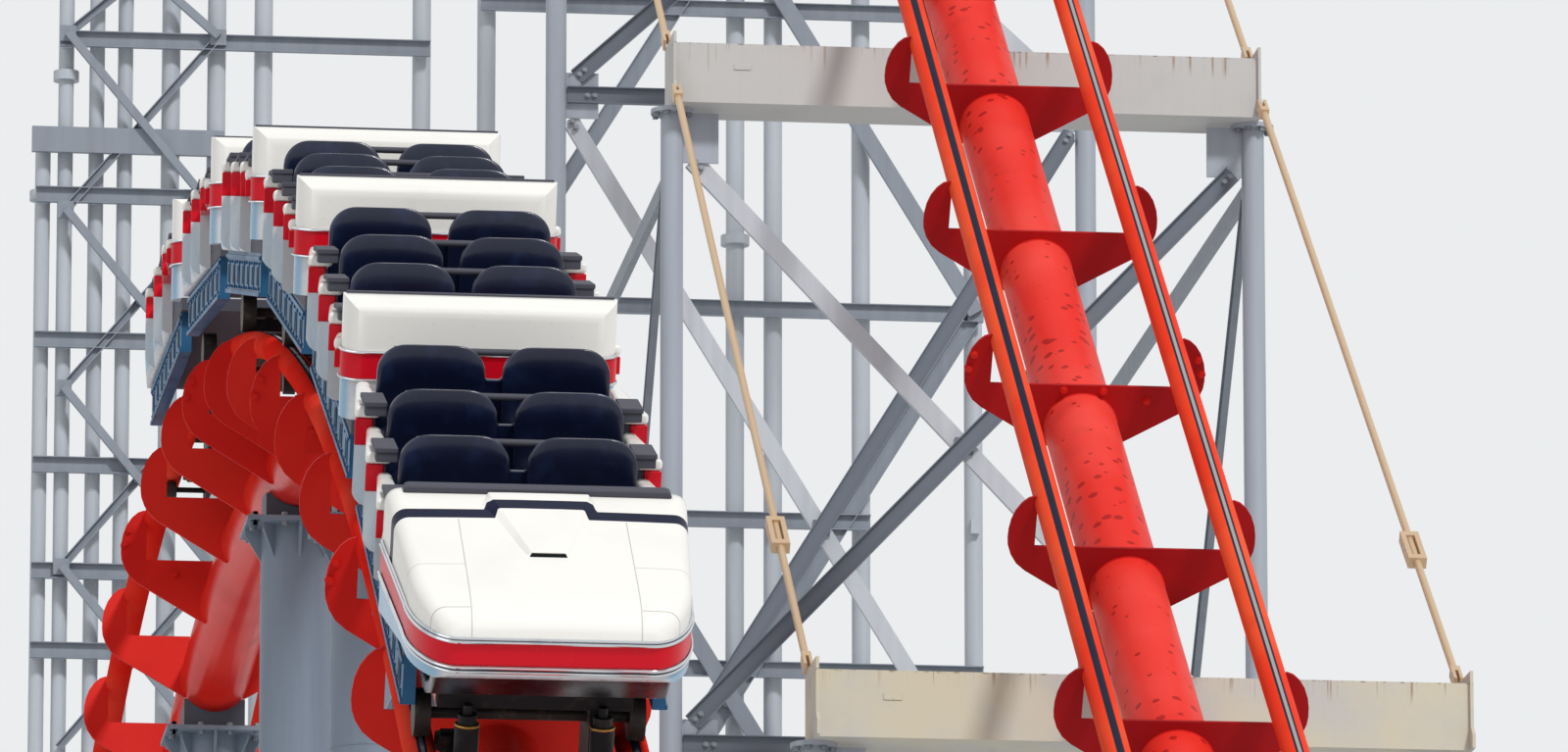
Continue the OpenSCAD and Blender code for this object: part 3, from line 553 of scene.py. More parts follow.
def panel_seams(node, place):
    """Fine joints of the nose's panels: one each side of the middle, and two across each side panel."""
    across, ahead = nose_axes(node, place)
    seams = 0.0
    for value, at, gate, start in ((across, 0.427, ahead, 0.38), (ahead, 0.90, across, 0.427),
                                   (ahead, 1.335, across, 0.427)):
        off = node(SIZE_OF, (node(MINUS, (value, at)),))
        line = node(SMOOTH, (off, 0.0034, 0.0014))
        shown = node(RANGE, (gate, start, start + 0.004))
        seams = node(LARGER, (seams, node(TIMES, (line, shown))))
    return seams


def make_finishes():
    tint = bpy.context.scene.coaster_colours
    # Clouds that several finishes share: sun-faded patches, uneven gloss, upright weather streaks, rust bloom
    faded, patchy = (1.6, 0.38, 0.66), (0.5, 0.5, 0.8)
    streaks, bloom = (0.09, 0.35, 0.75, UPRIGHT), (0.25, 0.66, 0.8, (1, 1, 0.25))
    grime = ("8E1B18", 0.25, (0.35, 0.55, 0.85))
    red_rough, red_bump = (0.34, 0.20, 0.25), (0.012, 0.0006, 0.6)
    # Brushed red enamel on the straight track's big tube: satin, sun-faded in patches, darker touched-up spots
    finish("spine_enamel", tint.enamel, [("EC4A40", 1.0, faded), ("9C1418", 0.75, None, touched_up), grime],
           red_rough, red_bump, specular=0.06)
    # The hill's tube is a deeper red, with more gloss
    finish("hill_spine_enamel", "CC1F14", [("DA3024", 1.0, faded), ("7E0E10", 0.6, (0.5, 0.55, 0.8))],
           (0.16, 0.12, 0.25), red_bump, specular=0.02)
    # The same enamel on the hill's rails, worn to dark metal along the top with a bright middle
    finish("hill_rail_enamel", "D8261C", [("E04433", 1.0, faded), grime,
           ("232738", 1.0, None, worn_strip(hill_rise, *DARK)),
           ("A9A9A6", 1.0, (0.5, 0.4, 0.6), worn_strip(hill_rise, *BRIGHT))], red_rough, red_bump, specular=0.0)
    # Orange-red rails of the straight track: a dark worn strip, bright in the middle on the right rail
    finish("drop_rail_enamel", "EC3A1E", [("F2552E", 1.0, faded), grime,
           ("232738", 1.0, None, worn_strip(drop_rise, *DARK)), ("A9A9A6", 0.9, None, right_strip)],
           red_rough, red_bump, specular=0.02)
    # Flat enamel on the tie plates: bright on the hill; deep crimson on the straight track, which is painted
    # shade of the same red for plates that get less sun
    for name, base, sunned in (("plate_enamel", "C81C16", "D62A20"),
                               ("deep_plate_enamel", "9C1116", "B4181A")):
        finish(name, base, [(sunned, 1.0, faded), grime], (0.45, 0.2, 0.25), red_bump, specular=0.12)
    # Sprayed grey coats on structural steel: upright weather streaks, fine speckle and a little rust bloom
    # The far columns' coat is the column grey painted paler, as painted sunlight on them
    for name, base, shade, rust, metal in (
            ("column_coat", tint.grey, "8C949E", 0.12, 0.0), ("far_coat", "B4BAC1", "989FA8", 0.12, 0.0),
            ("hill_column_coat", "74818F", "5F6C7B", 0.05, 0.0), ("bracing_coat", "868E98", "6C747F", 0.1, 0.0),
            ("saddle_coat", "4A525C", "39404A", 0.05, 0.0), ("base_coat", "7D8288", "60656C", 0.6, 0.0),
            ("bolt_steel", "8A8F96", "62676E", 0.4, 0.5)):
        finish(name, base, [(shade, 0.35, streaks), (shade, 0.35, (0.8, 0.62, 0.8)), ("8A5A34", rust, bloom),
               ("5C6066", 0.12, (0.01, 0.62, 0.75))], (0.40, 0.22, 0.09), metallic=metal)
    # The bents' channels: pale where they lie behind the gussets; darker and bluer in front of them, which is
    # painted shade for the shadow their lips cast on the web
    finish("light_bracing_coat", "BCC1C7", [("9BA1A9", 0.35, streaks), ("6A727D", 1.0, None, front_channel_shade),
           ("8A5A34", 0.1, bloom)], (0.40, 0.22, 0.09))
    # Old stone-grey paint on the box beams: faint chalky streaks and cloudy patches, rust runs from the top
    # edge, the lowest beam yellower
    finish("beam_paint", "BDBDBA", [("AEABA5", 0.10, (0.05, 0.42, 0.7, (1, 1, 0.03))),
           ("A5A39D", 0.35, (0.7, 0.5, 0.7)), ("D0C6A6", 0.75, (0.9, 0.3, 0.62), lowest_beam),
           ("8C6239", 0.7, None, rust_runs), ("6E4A2C", 0.7, (0.06, 0.5, 0.66), top_edge),
           ("8A8074", 0.5, (0.012, 0.66, 0.74))], (0.48, 0.2, 0.05), (0.03, 0.001, 0.5))
    # Bare rolled rod and forgings gone tan with rust, rubbed paler in places, with dark pits
    finish("rusty_rod", "A5753B", [("C4AC84", 0.7, (0.9, 0.5, 0.72)), ("5E3B22", 1.0, (0.05, 0.6, 0.75))],
           (0.7, 0.2, 0.05), (0.01, 0.0012, 0.7), 0.15, specular=0.15)
    # Gel coat on moulded glass-fibre: clear gloss, very slight waviness, dust in patches
    dust, wavy = ("8F8A80", 0.18, (0.03, 0.64, 0.8)), (0.25, 0.0015, 0.3)
    finish("white_gelcoat", tint.shell, [("C9C6BD", 0.35, patchy), dust], (0.18, 0.12, 0.1), wavy, coat=0.2)
    finish("red_gelcoat", tint.band, [("A8081C", 0.4, patchy), dust], (0.26, 0.12, 0.1), wavy, specular=0.22)
    # Silver lacquer on the skirts: bluish on the sides, which is a painted reflection of the blue sky, silver
    # elsewhere
    finish("silver_lacquer", "8FB4CE", [("6F9CBE", 0.35, patchy), dust, ("CFD3D6", 1.0, None, not_sideways)],
           (0.22, 0.12, 0.1), wavy, coat=0.1)
    # The nose's gel coat with its painted navy stripe and fine panel joints
    finish("nose_gelcoat", tint.shell, [("D9D6CC", 0.25, (0.5, 0.45, 0.8)),
           (tint.stripe, 1.0, None, stripe_mask), ("9A958A", 0.6, None, panel_seams)],
           (0.30, 0.1, 0.1), (0.25, 0.0015, 0.5), specular=0.08, sunk=panel_seams)
    # Polished chrome plate on the trim beads, with faint polishing marks
    finish("chrome_plate", "D9DCDF", [("B9BEC4", 1.0, (0.2, 0.5, 0.75))], (0.06, 0.14, 0.02),
           (0.004, 0.0001, 0.4), 1.0)
    # Navy vinyl skin of the foam seats: glossy, with a leather grain of about 2 mm drawn at 4 mm to show
    finish("navy_vinyl", "0E1630", [("1A2646", 1.0, (0.15, 0.5, 0.75))], (0.20, 0.2, 0.12),
           (0.004, 0.0004, 0.35), coat=0.25)
    # Dark pads and lacquer, painted shadow in slots, greasy steel, urethane treads, blue paint and brass, all
    # rubbed in places
    for name, base, worn, rough, metal, lumps, shine in (
            ("black_pad", "1C1E27", "262934", 0.45, 0.0, 0.08, 0.0),
            ("black_lacquer", "0C0D11", "1A1B20", 0.14, 0.0, 0.08, 0.5),
            ("greasy_steel", "121215", "2B2825", 0.42, 0.3, 0.08, 0.3),
            ("urethane_tread", "2B2622", "4A433B", 0.45, 0.0, 0.08, 0.3),
            ("blue_chassis", "2F6086", "214A68", 0.3, 0.1, 0.3, 0.12),
            ("slot_shadow", "0B0D12", "16191F", 0.6, 0.0, 0.08, 0.2),
            ("brass_ring", "B58A45", "8F6A30", 0.25, 0.9, 0.08, 0.5)):
        finish(name, base, [(worn, 1.0, (lumps, 0.5, 0.72))], (rough - 0.05, 0.3, lumps * 2),
               (0.006, 0.0006, 0.6), metal, specular=shine)


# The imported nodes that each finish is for
NODE_FINISHES = {
    "hill_spine_enamel": "hill_spine", "hill_rail_enamel": "hill_rails", "spine_enamel": "drop_spine",
    "drop_rail_enamel": "drop_rails", "plate_enamel": "hill_tie_webs hill_tie_hooks",
    "deep_plate_enamel": "drop_tie_webs drop_tie_hooks", "saddle_coat": "track_saddles",
    "hill_column_coat": "hill_columns column_gussets", "beam_paint": "cross_beams beam_end_plates",
    "column_coat": "bent_columns", "light_bracing_coat": "bent_bracing",
    "bracing_coat": "side_bracing far_bracing", "far_coat": "far_columns", "rusty_rod": "tie_rods",
    "base_coat": "base_plates", "nose_gelcoat": "nose_hood",
    "red_gelcoat": "nose_band red_bands", "silver_lacquer": "nose_bumper side_skirts",
    "white_gelcoat": "fairings side_caps", "black_pad": "dash_bar car_floors grab_rails arm_pads",
    "blue_chassis": "chassis_panels", "greasy_steel": "chassis_beams wheel_carriers couplers",
    "navy_vinyl": "seat_cushions seat_backs",
    "urethane_tread": "guide_wheels axle_1 axle_2 axle_3 axle_4 axle_5 axle_6 axle_7",
}


class COASTER_OT_paint(bpy.types.Operator):
    """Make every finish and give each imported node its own"""
    bl_idname = "coaster.paint"
    bl_label = "Paint the packed nodes"

    def execute(self, context):
        make_finishes()
        for finish, nodes in NODE_FINISHES.items():
            for node in nodes.split():
                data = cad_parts[node].data
                data.materials.clear()
                data.materials.append(bpy.data.materials[finish])
        return {"FINISHED"}


def nose_profile(ahead):
    """Height of the hood's centre line, by the distance ahead of the dash."""
    xs = (0.0, 0.07, 0.12, 0.20, 1.15, 1.24, 1.31, 1.37, 1.41, 1.435, 1.45)
    zs = (1.310, 1.310, 1.3065, 1.2947, 1.1626, 1.147, 1.126, 1.098, 1.068, 1.032, 0.970)
    return float(np.interp(ahead, xs, zs))


def nose_half_width(ahead):
    """Half the hood's width in plan, by the distance ahead of the dash."""
    past = ahead - (NOSE_L - CORNER_L)
    if past <= 0:
        return NOSE_X - NOSE_DRAW * ahead / (NOSE_L - CORNER_L)
    return NOSE_X - NOSE_DRAW - CORNER_X * (1 - sqrt(max(1 - (past / CORNER_L) ** 2, 0.0)))


def nose_edge(out):
    """The nose's edge in plan from the left to the right, moved outwards: a list of (x, distance ahead)."""
    half = [(nose_half_width(d) + out, d) for d in np.linspace(0.02, NOSE_L - CORNER_L, 10)]
    for t in np.linspace(0, pi / 2, 19)[1:]:
        way = Vector((cos(t) / CORNER_X, sin(t) / CORNER_L)).normalized() * out
        half.append((NOSE_X - NOSE_DRAW - CORNER_X * (1 - cos(t)) + way.x,
                     NOSE_L - CORNER_L * (1 - sin(t)) + way.y))
    return [(-x, d) for x, d in half] + [(x, d) for x, d in reversed(half)]


def joint_line(ahead):
    """Height of the joint between hood and red band."""
    return 1.010 - 0.040 * ahead / NOSE_L


def sill_line(ahead):
    """Height of the joint between red band and bumper."""
    return 0.870 - 0.025 * ahead / NOSE_L


class COASTER_OT_nose(bpy.types.Operator):
    """The first car's rounded hood, with its scoop, chrome beads, bands, belly pan and dash pad"""
    bl_idname = "coaster.nose"
    bl_label = "Nose"

    def execute(self, context):
        here = on_car(0)
        bead = context.scene.coaster_sizes.bead
        hood, rows, fillet, bend = Shape(), [], 0.075, 1.12
        # Even steps as far as the hood bends down, then closer ones to its tip
        tip = bend + (NOSE_L - bend) * np.sin(np.linspace(0.06, 0.5, 26) * pi)
        for d in [*np.linspace(0.0, bend, 34), *tip]:
            half, top, low = nose_half_width(d), nose_profile(d), joint_line(d)
            soft = max(min(fillet, (top - low) * 0.9), 0.001)
            arc = [(half - soft + soft * sin(t), top - soft + soft * cos(t))
                   for t in np.linspace(0, pi / 2, 9)]
            crown = [((half - soft) * s, top + 0.008 * (1 - s * s) * min(1, d / 0.3))
                     for s in np.linspace(0, 1, 18)]
            half_row = crown[:-1] + arc + [(half, low + (top - soft - low) * f) for f in (0.66, 0.33, 0.0)]
            rows.append([(-x, FRONT_Y - d, z) for x, z in reversed(half_row)] +
                        [(x, FRONT_Y - d, z) for x, z in half_row[1:]])
        hood.grid(rows, here)
        piece = finished("nose_hood_shell", hood, "nose_gelcoat", "train", sharp=50)
        wall = piece.modifiers.new("Shell wall", "SOLIDIFY")
        wall.thickness, wall.offset, wall.use_rim = 0.012, -1.0, True
        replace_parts(piece, "nose_hood")
        # The raised scoop in the middle: widest near the dash, then narrowing downwards, with sloping walls
        scoop, rows = Shape(), []
        for d, foot, flat, lift in (
                (0.088, 0.264, 0.256, -0.006), (0.105, 0.272, 0.256, 0.018), (0.16, 0.292, 0.247, 0.024),
                (0.215, 0.312, 0.238, 0.026), (0.33, 0.262, 0.206, 0.026), (0.45, 0.224, 0.175, 0.026),
                (0.60, 0.180, 0.137, 0.026), (0.77, 0.126, 0.094, 0.026), (0.790, 0.118, 0.091, 0.022),
                (0.812, 0.108, 0.088, -0.006)):
            top, base = nose_profile(d) + lift + 0.006, nose_profile(d) - 0.004
            crown = [(x, top + 0.001) for x in (-flat / 2, 0, flat / 2)]
            rows.append([(x, FRONT_Y - d, z) for x, z in
                         [(-foot, base), (-flat, top), *crown, (flat, top), (foot, base)]])
        scoop.grid(rows, here)
        finished("nose_scoop", scoop, "nose_gelcoat", "train", bevel=0.005, sharp=20)
        # A dark plate of painted shadow stands for the slot at the scoop's lower end
        slot = Shape()
        z = nose_profile(0.80)
        slot.plate([(-0.100, z - 0.002), (0.100, z - 0.002), (0.086, z + 0.023), (-0.086, z + 0.023)],
                   FRONT_Y - 0.812, FRONT_Y - 0.790, here, axis="y")
        finished("scoop_slot", slot, "slot_shadow", "train", bevel=0.002)
        # Chrome beads round the nose, along both joints of the red band, each pair parted by a dark rubber
        beads, rubbers = Shape(), Shape()
        for line, lift, out, size, shape in (
                (joint_line, 0.020, 0.006, 1.0, beads), (joint_line, 0.002, 0.012, 1.1, beads),
                (joint_line, 0.011, 0.007, 0.6, rubbers), (sill_line, -0.006, 0.014, 1.1, beads),
                (sill_line, -0.028, 0.011, 1.0, beads), (sill_line, -0.017, 0.010, 0.6, rubbers)):
            path = [(x, FRONT_Y - d, line(min(d, NOSE_L)) + lift) for x, d in nose_edge(out)]
            shape.tube(path, bead * size, 8, here)
        finished("nose_beads", beads, "chrome_plate", "train")
        finished("nose_bead_rubbers", rubbers, "black_pad", "train")
        belly = Shape()
        belly.plate([(-2.58, 0.752), (-2.40, 0.60), (-2.12, 0.505), (-1.72, 0.49), (-1.72, 0.555),
                     (-2.10, 0.57), (-2.34, 0.66), (-2.44, 0.752)], -0.60, 0.60, here, axis="x")
        finished("nose_belly_pan", belly, "black_lacquer", "train", bevel=0.02, segments=4)
        dressed("nose_band", "red_gelcoat", "train", 0.012, 3)
        dressed("nose_bumper", "silver_lacquer", "train", 0.02, 4)
        # Padded dash rail with rounded ends
        dash = Shape()
        outline = [(-0.69, 0.0), (-0.68, 0.026), (-0.665, 0.038), (0.665, 0.038), (0.68, 0.026), (0.69, 0.0)]
        dash.plate([(x, HOOD_Z + z) for x, z in outline], FRONT_Y - 0.085, FRONT_Y, here, axis="y")
        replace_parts(finished("dash_pad", dash, "black_pad", "train", bevel=0.012, segments=4), "dash_bar")
        return {"FINISHED"}


def loose(name, rows):
    """An object skinned over closed rows of points, to be copied."""
    shape = Shape()
    shape.grid(rows, ring=True, caps=True)
    return linked(name, shape.mesh(name))


def squared_oval(half_x, half_y, power_x, power_y, steps):
    """Points round an oval, which is the squarer the smaller its powers are."""
    for k in range(steps):
        c, s = cos(2 * pi * k / steps), sin(2 * pi * k / steps)
        yield half_x * copysign(abs(c) ** power_x, c), half_y * copysign(abs(s) ** power_y, s)


def seat_back_item():
    """A moulded seat back: rounded shoulders, side bolsters, a dished front and a flat rear shell."""
    dish = bpy.context.scene.coaster_sizes.dish
    rows, straight, shoulder = [], 0.48, 0.15
    bend = straight + shoulder * np.sin(np.linspace(0.08, 0.5, 9) * pi)
    for h in [*np.linspace(0.0, straight, 13), *bend]:
        half = SEAT_HALF
        if h > straight:
            half += sqrt(max(shoulder ** 2 - (h - straight) ** 2, 0.0)) - shoulder
        taper = 1.0 if h <= 0.5 else max(0.25, 1.0 - ((h - 0.5) / 0.13) ** 2 * 0.75)
        row = []
        for x, y in squared_oval(half, 0.04 * taper, 0.5, 0.6, 44):
            if y < 0:
                ridge = (abs(x) / SEAT_HALF) ** 2
                y += dish * (1 - ridge) * taper * (0.35 + 0.65 * sin(pi * min(h / 0.5, 1.0)))
                y -= 0.022 * max(0.0, ridge - 0.45) * taper
            row.append((x, y, h))
        rows.append(row)
    return loose("seat_back_item", rows)


def cushion_item():
    """A seat cushion: crowned, with pulled-in sides and a rolled front edge."""
    rows = []
    for level in np.linspace(-1, 1, 15):
        z = 0.115 * copysign(abs(level) ** 0.8, level)
        spread = max((1 - abs(level) ** 5) ** 0.5, 0.02)
        row = []
        for x, y in squared_oval(0.283 * spread, 0.205 * spread, 0.42, 0.42, 40):
            crown = 0.0
            if level > 0:
                crown = 0.012 * level * (1 - (x / 0.29) ** 2) - 0.02 * level * max(0.0, -y / 0.2) ** 3
            row.append((x, y, z + crown))
        rows.append(row)
    return loose("cushion_item", rows)


class COASTER_OT_seats(bpy.types.Operator):
    """Seat backs and cushions, three rows of two in each car, and the shell between the backs"""
    bl_idname = "coaster.seats"
    bl_label = "Seats"

    def execute(self, context):
        seats = [(k, side * SEAT_X, row) for k in range(CARS) for row in ROWS for side in (-1, 1)]
        spots = [(k, x, row + 0.6, FLOOR_Z) for k, x, row in seats]
        backs = along_train("seat_back_shells", seat_back_item(), spots, "navy_vinyl")
        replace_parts(backs, "seat_backs")
        spots = [(k, x, row + 0.355, FLOOR_Z + 0.12) for k, x, row in seats]
        pads = along_train("seat_cushion_pads", cushion_item(), spots, "navy_vinyl")
        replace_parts(pads, "seat_cushions")
        # The moulded shell dips between the two backs of each row
        dips = Shape()
        for k in range(CARS):
            for row in ROWS:
                y = row + 0.615
                dips.plate([(-0.075, 0.74), (0.075, 0.74), (0.075, 1.14), (0.035, 1.085), (-0.035, 1.085),
                            (-0.075, 1.14)], y - 0.012, y + 0.018, on_car(k), axis="y")
        finished("seat_back_dips", dips, "navy_vinyl", "train", bevel=0.006)
        return {"FINISHED"}


class COASTER_OT_car_trim(bpy.types.Operator):
    """Rounded caps, bands and skirts, chrome strips, edge rubbers, liners, arm pads and grab rails"""
    bl_idname = "coaster.car_trim"
    bl_label = "Car trim"

    def execute(self, context):
        edge = context.scene.coaster_sizes.edge
        dressed("side_caps", "white_gelcoat", "train", edge * 1.3, 4)
        dressed("red_bands", "red_gelcoat", "train", 0.006, 2)
        dressed("side_skirts", "silver_lacquer", "train", 0.012, 2)
        dressed("fairings", "white_gelcoat", "train", 0.035, 6, 30)
        strips, rubber, liner, pads, rails = Shape(), Shape(), Shape(), Shape(), Shape()
        half, slope = CAR_W / 2, atan(TOOTH_RISE / ROW_PITCH)
        for k in range(CARS):
            here = on_car(k)
            if k:
                for z, r in ((BAND_Z + BAND_H / 2 + 0.006, 0.008), (BAND_Z - BAND_H / 2 - 0.005, 0.006)):
                    depth, bend = FAIRING_T + 0.008, 0.12
                    path = [(-BAND_X - 0.004, FRONT_Y - 0.02, z)]
                    path += [(-BAND_X + bend - (bend + 0.004) * cos(t),
                              FRONT_Y - depth + bend - (bend + 0.004) * sin(t), z)
                             for t in np.linspace(0, pi / 2, 7)]
                    strips.tube(path + [(-x, y, w) for x, y, w in reversed(path)], r, 8, here)
                rubber.box((-half + 0.05, FRONT_Y - 0.030, HOOD_Z - 0.003),
                           (half - 0.05, FRONT_Y - 0.002, HOOD_Z + 0.012), here)
            for side in (-1, 1):
                for start in (-2 * ROW_PITCH,) + ROWS:
                    y0, y1 = max(start, FRONT_Y + 0.02), min(start + ROW_PITCH, REAR_Y - 0.02)
                    tops = [TOOTH_TOP - 0.003 - TOOTH_RISE * (y - start) / ROW_PITCH for y in (y0, y1)]
                    liner.plate([(y0, FLOOR_Z + 0.002), (y1, FLOOR_Z + 0.002), (y1, tops[1]), (y0, tops[0])],
                                side * (TUB_X - 0.012), side * (TUB_X - 0.002), here, axis="x")
                for row in ROWS:
                    # Arm pad: a soft block on a smaller foot, on the sloping cap and reaching out ahead of it
                    top = here @ Matrix.Translation((0, row, TOOTH_TOP + CAP_H))
                    cap = top @ Matrix.Rotation(-slope, 4, "X")
                    for x0, y0, z0, x1, y1, z1 in ((-0.063, -0.100, 0.013, 0.058, 0.210, 0.042),
                                                   (-0.030, 0.004, 0.0003, 0.045, 0.195, 0.016),
                                                   (-0.061, -0.092, -0.036, 0.052, -0.004, 0.016)):
                        pads.box((side * (TUB_X + x0), y0, z0), (side * (TUB_X + x1), y1, z1), cap)
            for row in ROWS:
                y, z, r = row + 0.659, 1.221, 0.019
                rails.tube([(-0.52, y, z), (0.52, y, z)], r, 12, here)
                for x in (-0.53, -0.32, 0.32, 0.50):
                    rails.box((x, y - 0.02, z - 0.021), (x + 0.03, y + 0.012, z + 0.021), here)
        finished("chrome_strips", strips, "chrome_plate", "train")
        finished("edge_rubbers", rubber, "black_pad", "train", bevel=0.005)
        finished("side_liners", liner, "black_pad", "train", bevel=0.003)
        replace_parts(finished("arm_rest_pads", pads, "black_pad", "train", bevel=0.007), "arm_pads")
        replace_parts(finished("seat_grab_rails", rails, "black_pad", "train", bevel=0.003), "grab_rails")
        return {"FINISHED"}


class COASTER_OT_chassis(bpy.types.Operator):
    """Slots, ledges and rivets on the blue chassis sides, and the nose carriage's steering posts"""
    bl_idname = "coaster.chassis"
    bl_label = "Chassis"

    def execute(self, context):
        ledges, slots, frames, spots = Shape(), Shape(), Shape(), []
        for k in range(CARS):
            here = on_car(k)
            y0 = -1.69 if k == 0 else FRONT_Y - 0.06
            y1 = REAR_Y - 0.04
            for side in (-1, 1):
                x = side * (TUB_X - 0.005)
                for z0, z1 in ((0.300, 0.325), (0.515, 0.540)):
                    ledges.box((x, y0, z0), (x + side * 0.012, y1, z1), here)
                count = 7 if k else 8
                for i in range(count):
                    y = y0 + (i + 0.5) * (y1 - y0) / count
                    for shape, out, wide, low, high in ((frames, 0.006, 0.060, 0.350, 0.490),
                                                        (slots, 0.0075, 0.040, 0.365, 0.475)):
                        shape.box((x, y - wide, low), (x + side * out, y + wide, high), here)
                    for dy in (-0.11, 0.11):
                        for z in (0.345, 0.495):
                            spots.append((here @ Vector((x, y + dy, z)), here.to_3x3() @ Vector((side, 0, 0))))
        finished("chassis_ledges", ledges, "blue_chassis", "train", bevel=0.003)
        finished("chassis_slot_frames", frames, "blue_chassis", "train", bevel=0.003)
        # The slots are dark plates of painted shadow
        finished("chassis_slots", slots, "slot_shadow", "train")
        bolts("chassis_rivets", spots, "blue_chassis", "train", across=0.014, height=0.005)
        # Steering posts of the nose carriage, stepped towards the top, with brass rings and a cross plate
        posts, rings = Shape(), Shape()
        here = on_car(0)
        for side in (-1, 1):
            x, y = side * 0.345, -1.80
            posts.tube([(x, y, z) for z in (-0.20, 0.235, 0.235, 0.295, 0.295, 0.345)],
                       [0.0635, 0.0635, 0.05, 0.05, 0.024, 0.024], 24, here)
            rings.ring((x, y, 0.238), (0, 0, 1), 0.058, 0.008, here)
        posts.box((-0.50, -1.76, 0.31), (0.50, -1.66, 0.39), here)
        finished("steering_posts", posts, "greasy_steel", "train", bevel=0.003)
        finished("steering_rings", rings, "brass_ring", "train")
        return {"FINISHED"}


class COASTER_OT_bolts(bpy.types.Operator):
    """Bolts on flanges, gussets, bases and track splices, and blank tags on the box beams"""
    bl_idname = "coaster.bolts"
    bl_label = "Bolts"

    def execute(self, context):
        spots, up, down = [], Vector((0, 0, 1)), Vector((0, 0, -1))
        for i, y in enumerate(HILL_COLUMNS):
            top = flange_z(y)
            for a in (-FLANGE_BOLT, -FLANGE_INNER, FLANGE_INNER, FLANGE_BOLT):
                for x, dy in ((a, -FLANGE_BOLT), (a, FLANGE_BOLT), (-FLANGE_BOLT, a), (FLANGE_BOLT, a)):
                    if abs(x) == abs(dy) == FLANGE_BOLT and x != a:
                        continue
                    spots.append((Vector((x, CREST_Y + y + dy, top)), up))
                    spots.append((Vector((x, CREST_Y + y + dy, top - PLATE_T)), down))
            # Three of the bases have open fixing holes in place of bolts
            if i not in OPEN_HOLES:
                spots += [(Vector((x, CREST_Y + y + dy, PLATE_T)), up)
                          for x in (-BASE_BOLT, BASE_BOLT) for dy in (-BASE_BOLT, BASE_BOLT)]
        for bent in range(BENTS):
            for side in (-1, 1):
                cx, cy, top = BEAM_X + side * COLUMN_X, bent_y(bent), beam_z(bent) - BEAM_H
                spots += [(Vector((cx + HEAD_BOLT_R * cos(t), cy + HEAD_BOLT_R * sin(t), top - PLATE_T)), down)
                          for t in (radians(22.5 + 45 * k) for k in range(8))]
                spots += [(Vector((cx + x, cy + dy, PLATE_T)), up) for x in (-BENT_BASE_BOLT, BENT_BASE_BOLT)
                          for dy in (-BENT_BASE_BOLT, BENT_BASE_BOLT)]
        bolts("structure_bolts", spots, "bolt_steel")
        # Two bolts through the gusset at each bar's end: front channels lie ahead of it, back ones behind it
        gussets = []
        for bent in range(BENTS):
            if bent < 2:
                panels = int((beam_z(bent) - LEVEL_DROP - 0.5) // PANEL_H)
                levels = [beam_z(bent) - LEVEL_DROP - i * PANEL_H for i in range(panels + 1)]
            else:
                levels = [beam_z(bent) - LEVEL_DROP] + [TALL_FIRST - i * TALL_PANEL_H for i in range(4)]
            # Each braced face: its middle, the ways along and square to it, half its width, levels, first bar
            spans = [((BEAM_X, bent_y(bent)), Vector((1, 0, 0)), Vector((0, 1, 0)), COLUMN_X, levels, 1)]
            if bent < 2:
                sides = [SIDE_LOW + i * (beam_z(bent) - SIDE_DROP - SIDE_LOW) / 2 for i in (2, 1, 0)]
                spans += [((BEAM_X + side * COLUMN_X, bent_y(bent) + BAY / 2), Vector((0, 1, 0)),
                           Vector((-1, 0, 0)), BAY / 2, sides, 0) for side in (-1, 1)]
            for (cx, cy), along, square, reach, heights, first in spans:
                bars = [(heights[i], side, 0.0, 1) for i in range(first, len(heights)) for side in (-1, 1)]
                for upper, lower in zip(heights, heights[1:]):
                    rise = upper - lower
                    bars += [(lower, -1, rise, 1), (upper, 1, -rise, 1),
                             (upper, -1, -rise, 0), (lower, 1, rise, 0)]
                for z, side, rise, front in bars:
                    way = (along * (-side * 2 * reach) + Vector((0, 0, rise))).normalized()
                    node = Vector((cx, cy, z)) + along * side * reach
                    for step in (0.245, 0.300):
                        for face in (-1, 1):
                            depth = WEB_OUT if (face < 0) == bool(front) else GUSSET_HALF
                            gussets.append((node + way * step + square * face * depth, square * face))
        bolts("gusset_bolts", gussets, "bolt_steel", across=0.03, height=0.018)
        # A small raised tag plate near the left end of each beam, left blank
        tags = Shape()
        for bent in range(BENTS):
            x, y, z = BEAM_X - 1.66, bent_y(bent) - BEAM_W / 2, beam_z(bent) - 0.19
            tags.box((x, y - 0.007, z), (x + 0.12, y, z + 0.042))
        finished("beam_tags", tags, "beam_paint", "structure", bevel=0.003)
        # Bolted splices of the track: pairs on the webs and hooks of every so many ties
        ties = []
        for place in tie_places(context.scene.coaster_sizes.splice):
            turn = place.to_3x3()
            for x, z in ((-0.13, -0.335), (0.13, -0.335), (0.735, -0.10), (0.765, -0.20), (-0.735, -0.10),
                         (-0.765, -0.20), (0.42, -0.40), (-0.42, -0.40)):
                for face in (-1, 1):
                    ties.append((place @ Vector((x, face * 0.011, z)), turn @ Vector((0, face, 0))))
        bolts("splice_bolts", ties, "plate_enamel", across=0.034, height=0.02)
        return {"FINISHED"}


class COASTER_OT_welds(bpy.types.Operator):
    """Weld beads where the ties meet the spines, and the seams round the hill's columns"""
    bl_idname = "coaster.welds"
    bl_label = "Welds"

    def execute(self, context):
        bead = context.scene.coaster_sizes.weld
        red = Shape()
        for place in tie_places():
            for face in (-1, 1):
                arc = [(SPINE_R * sin(t), face * 0.0115, -SPINE_DROP + SPINE_R * cos(t))
                       for t in np.linspace(-2.1, 2.1, 30)]
                red.tube(arc, bead, 6, place)
        finished("tie_welds", red, "plate_enamel", "structure")
        grey = Shape()
        for y in HILL_COLUMNS:
            for z in np.arange(3.0, flange_z(y) - 0.6, 3.05):
                grey.ring((0, CREST_Y + y, z), (0, 0, 1), COLUMN_R + 0.0005, 0.004, steps=40, sides=6)
        finished("column_seams", grey, "hill_column_coat", "structure")
        return {"FINISHED"}


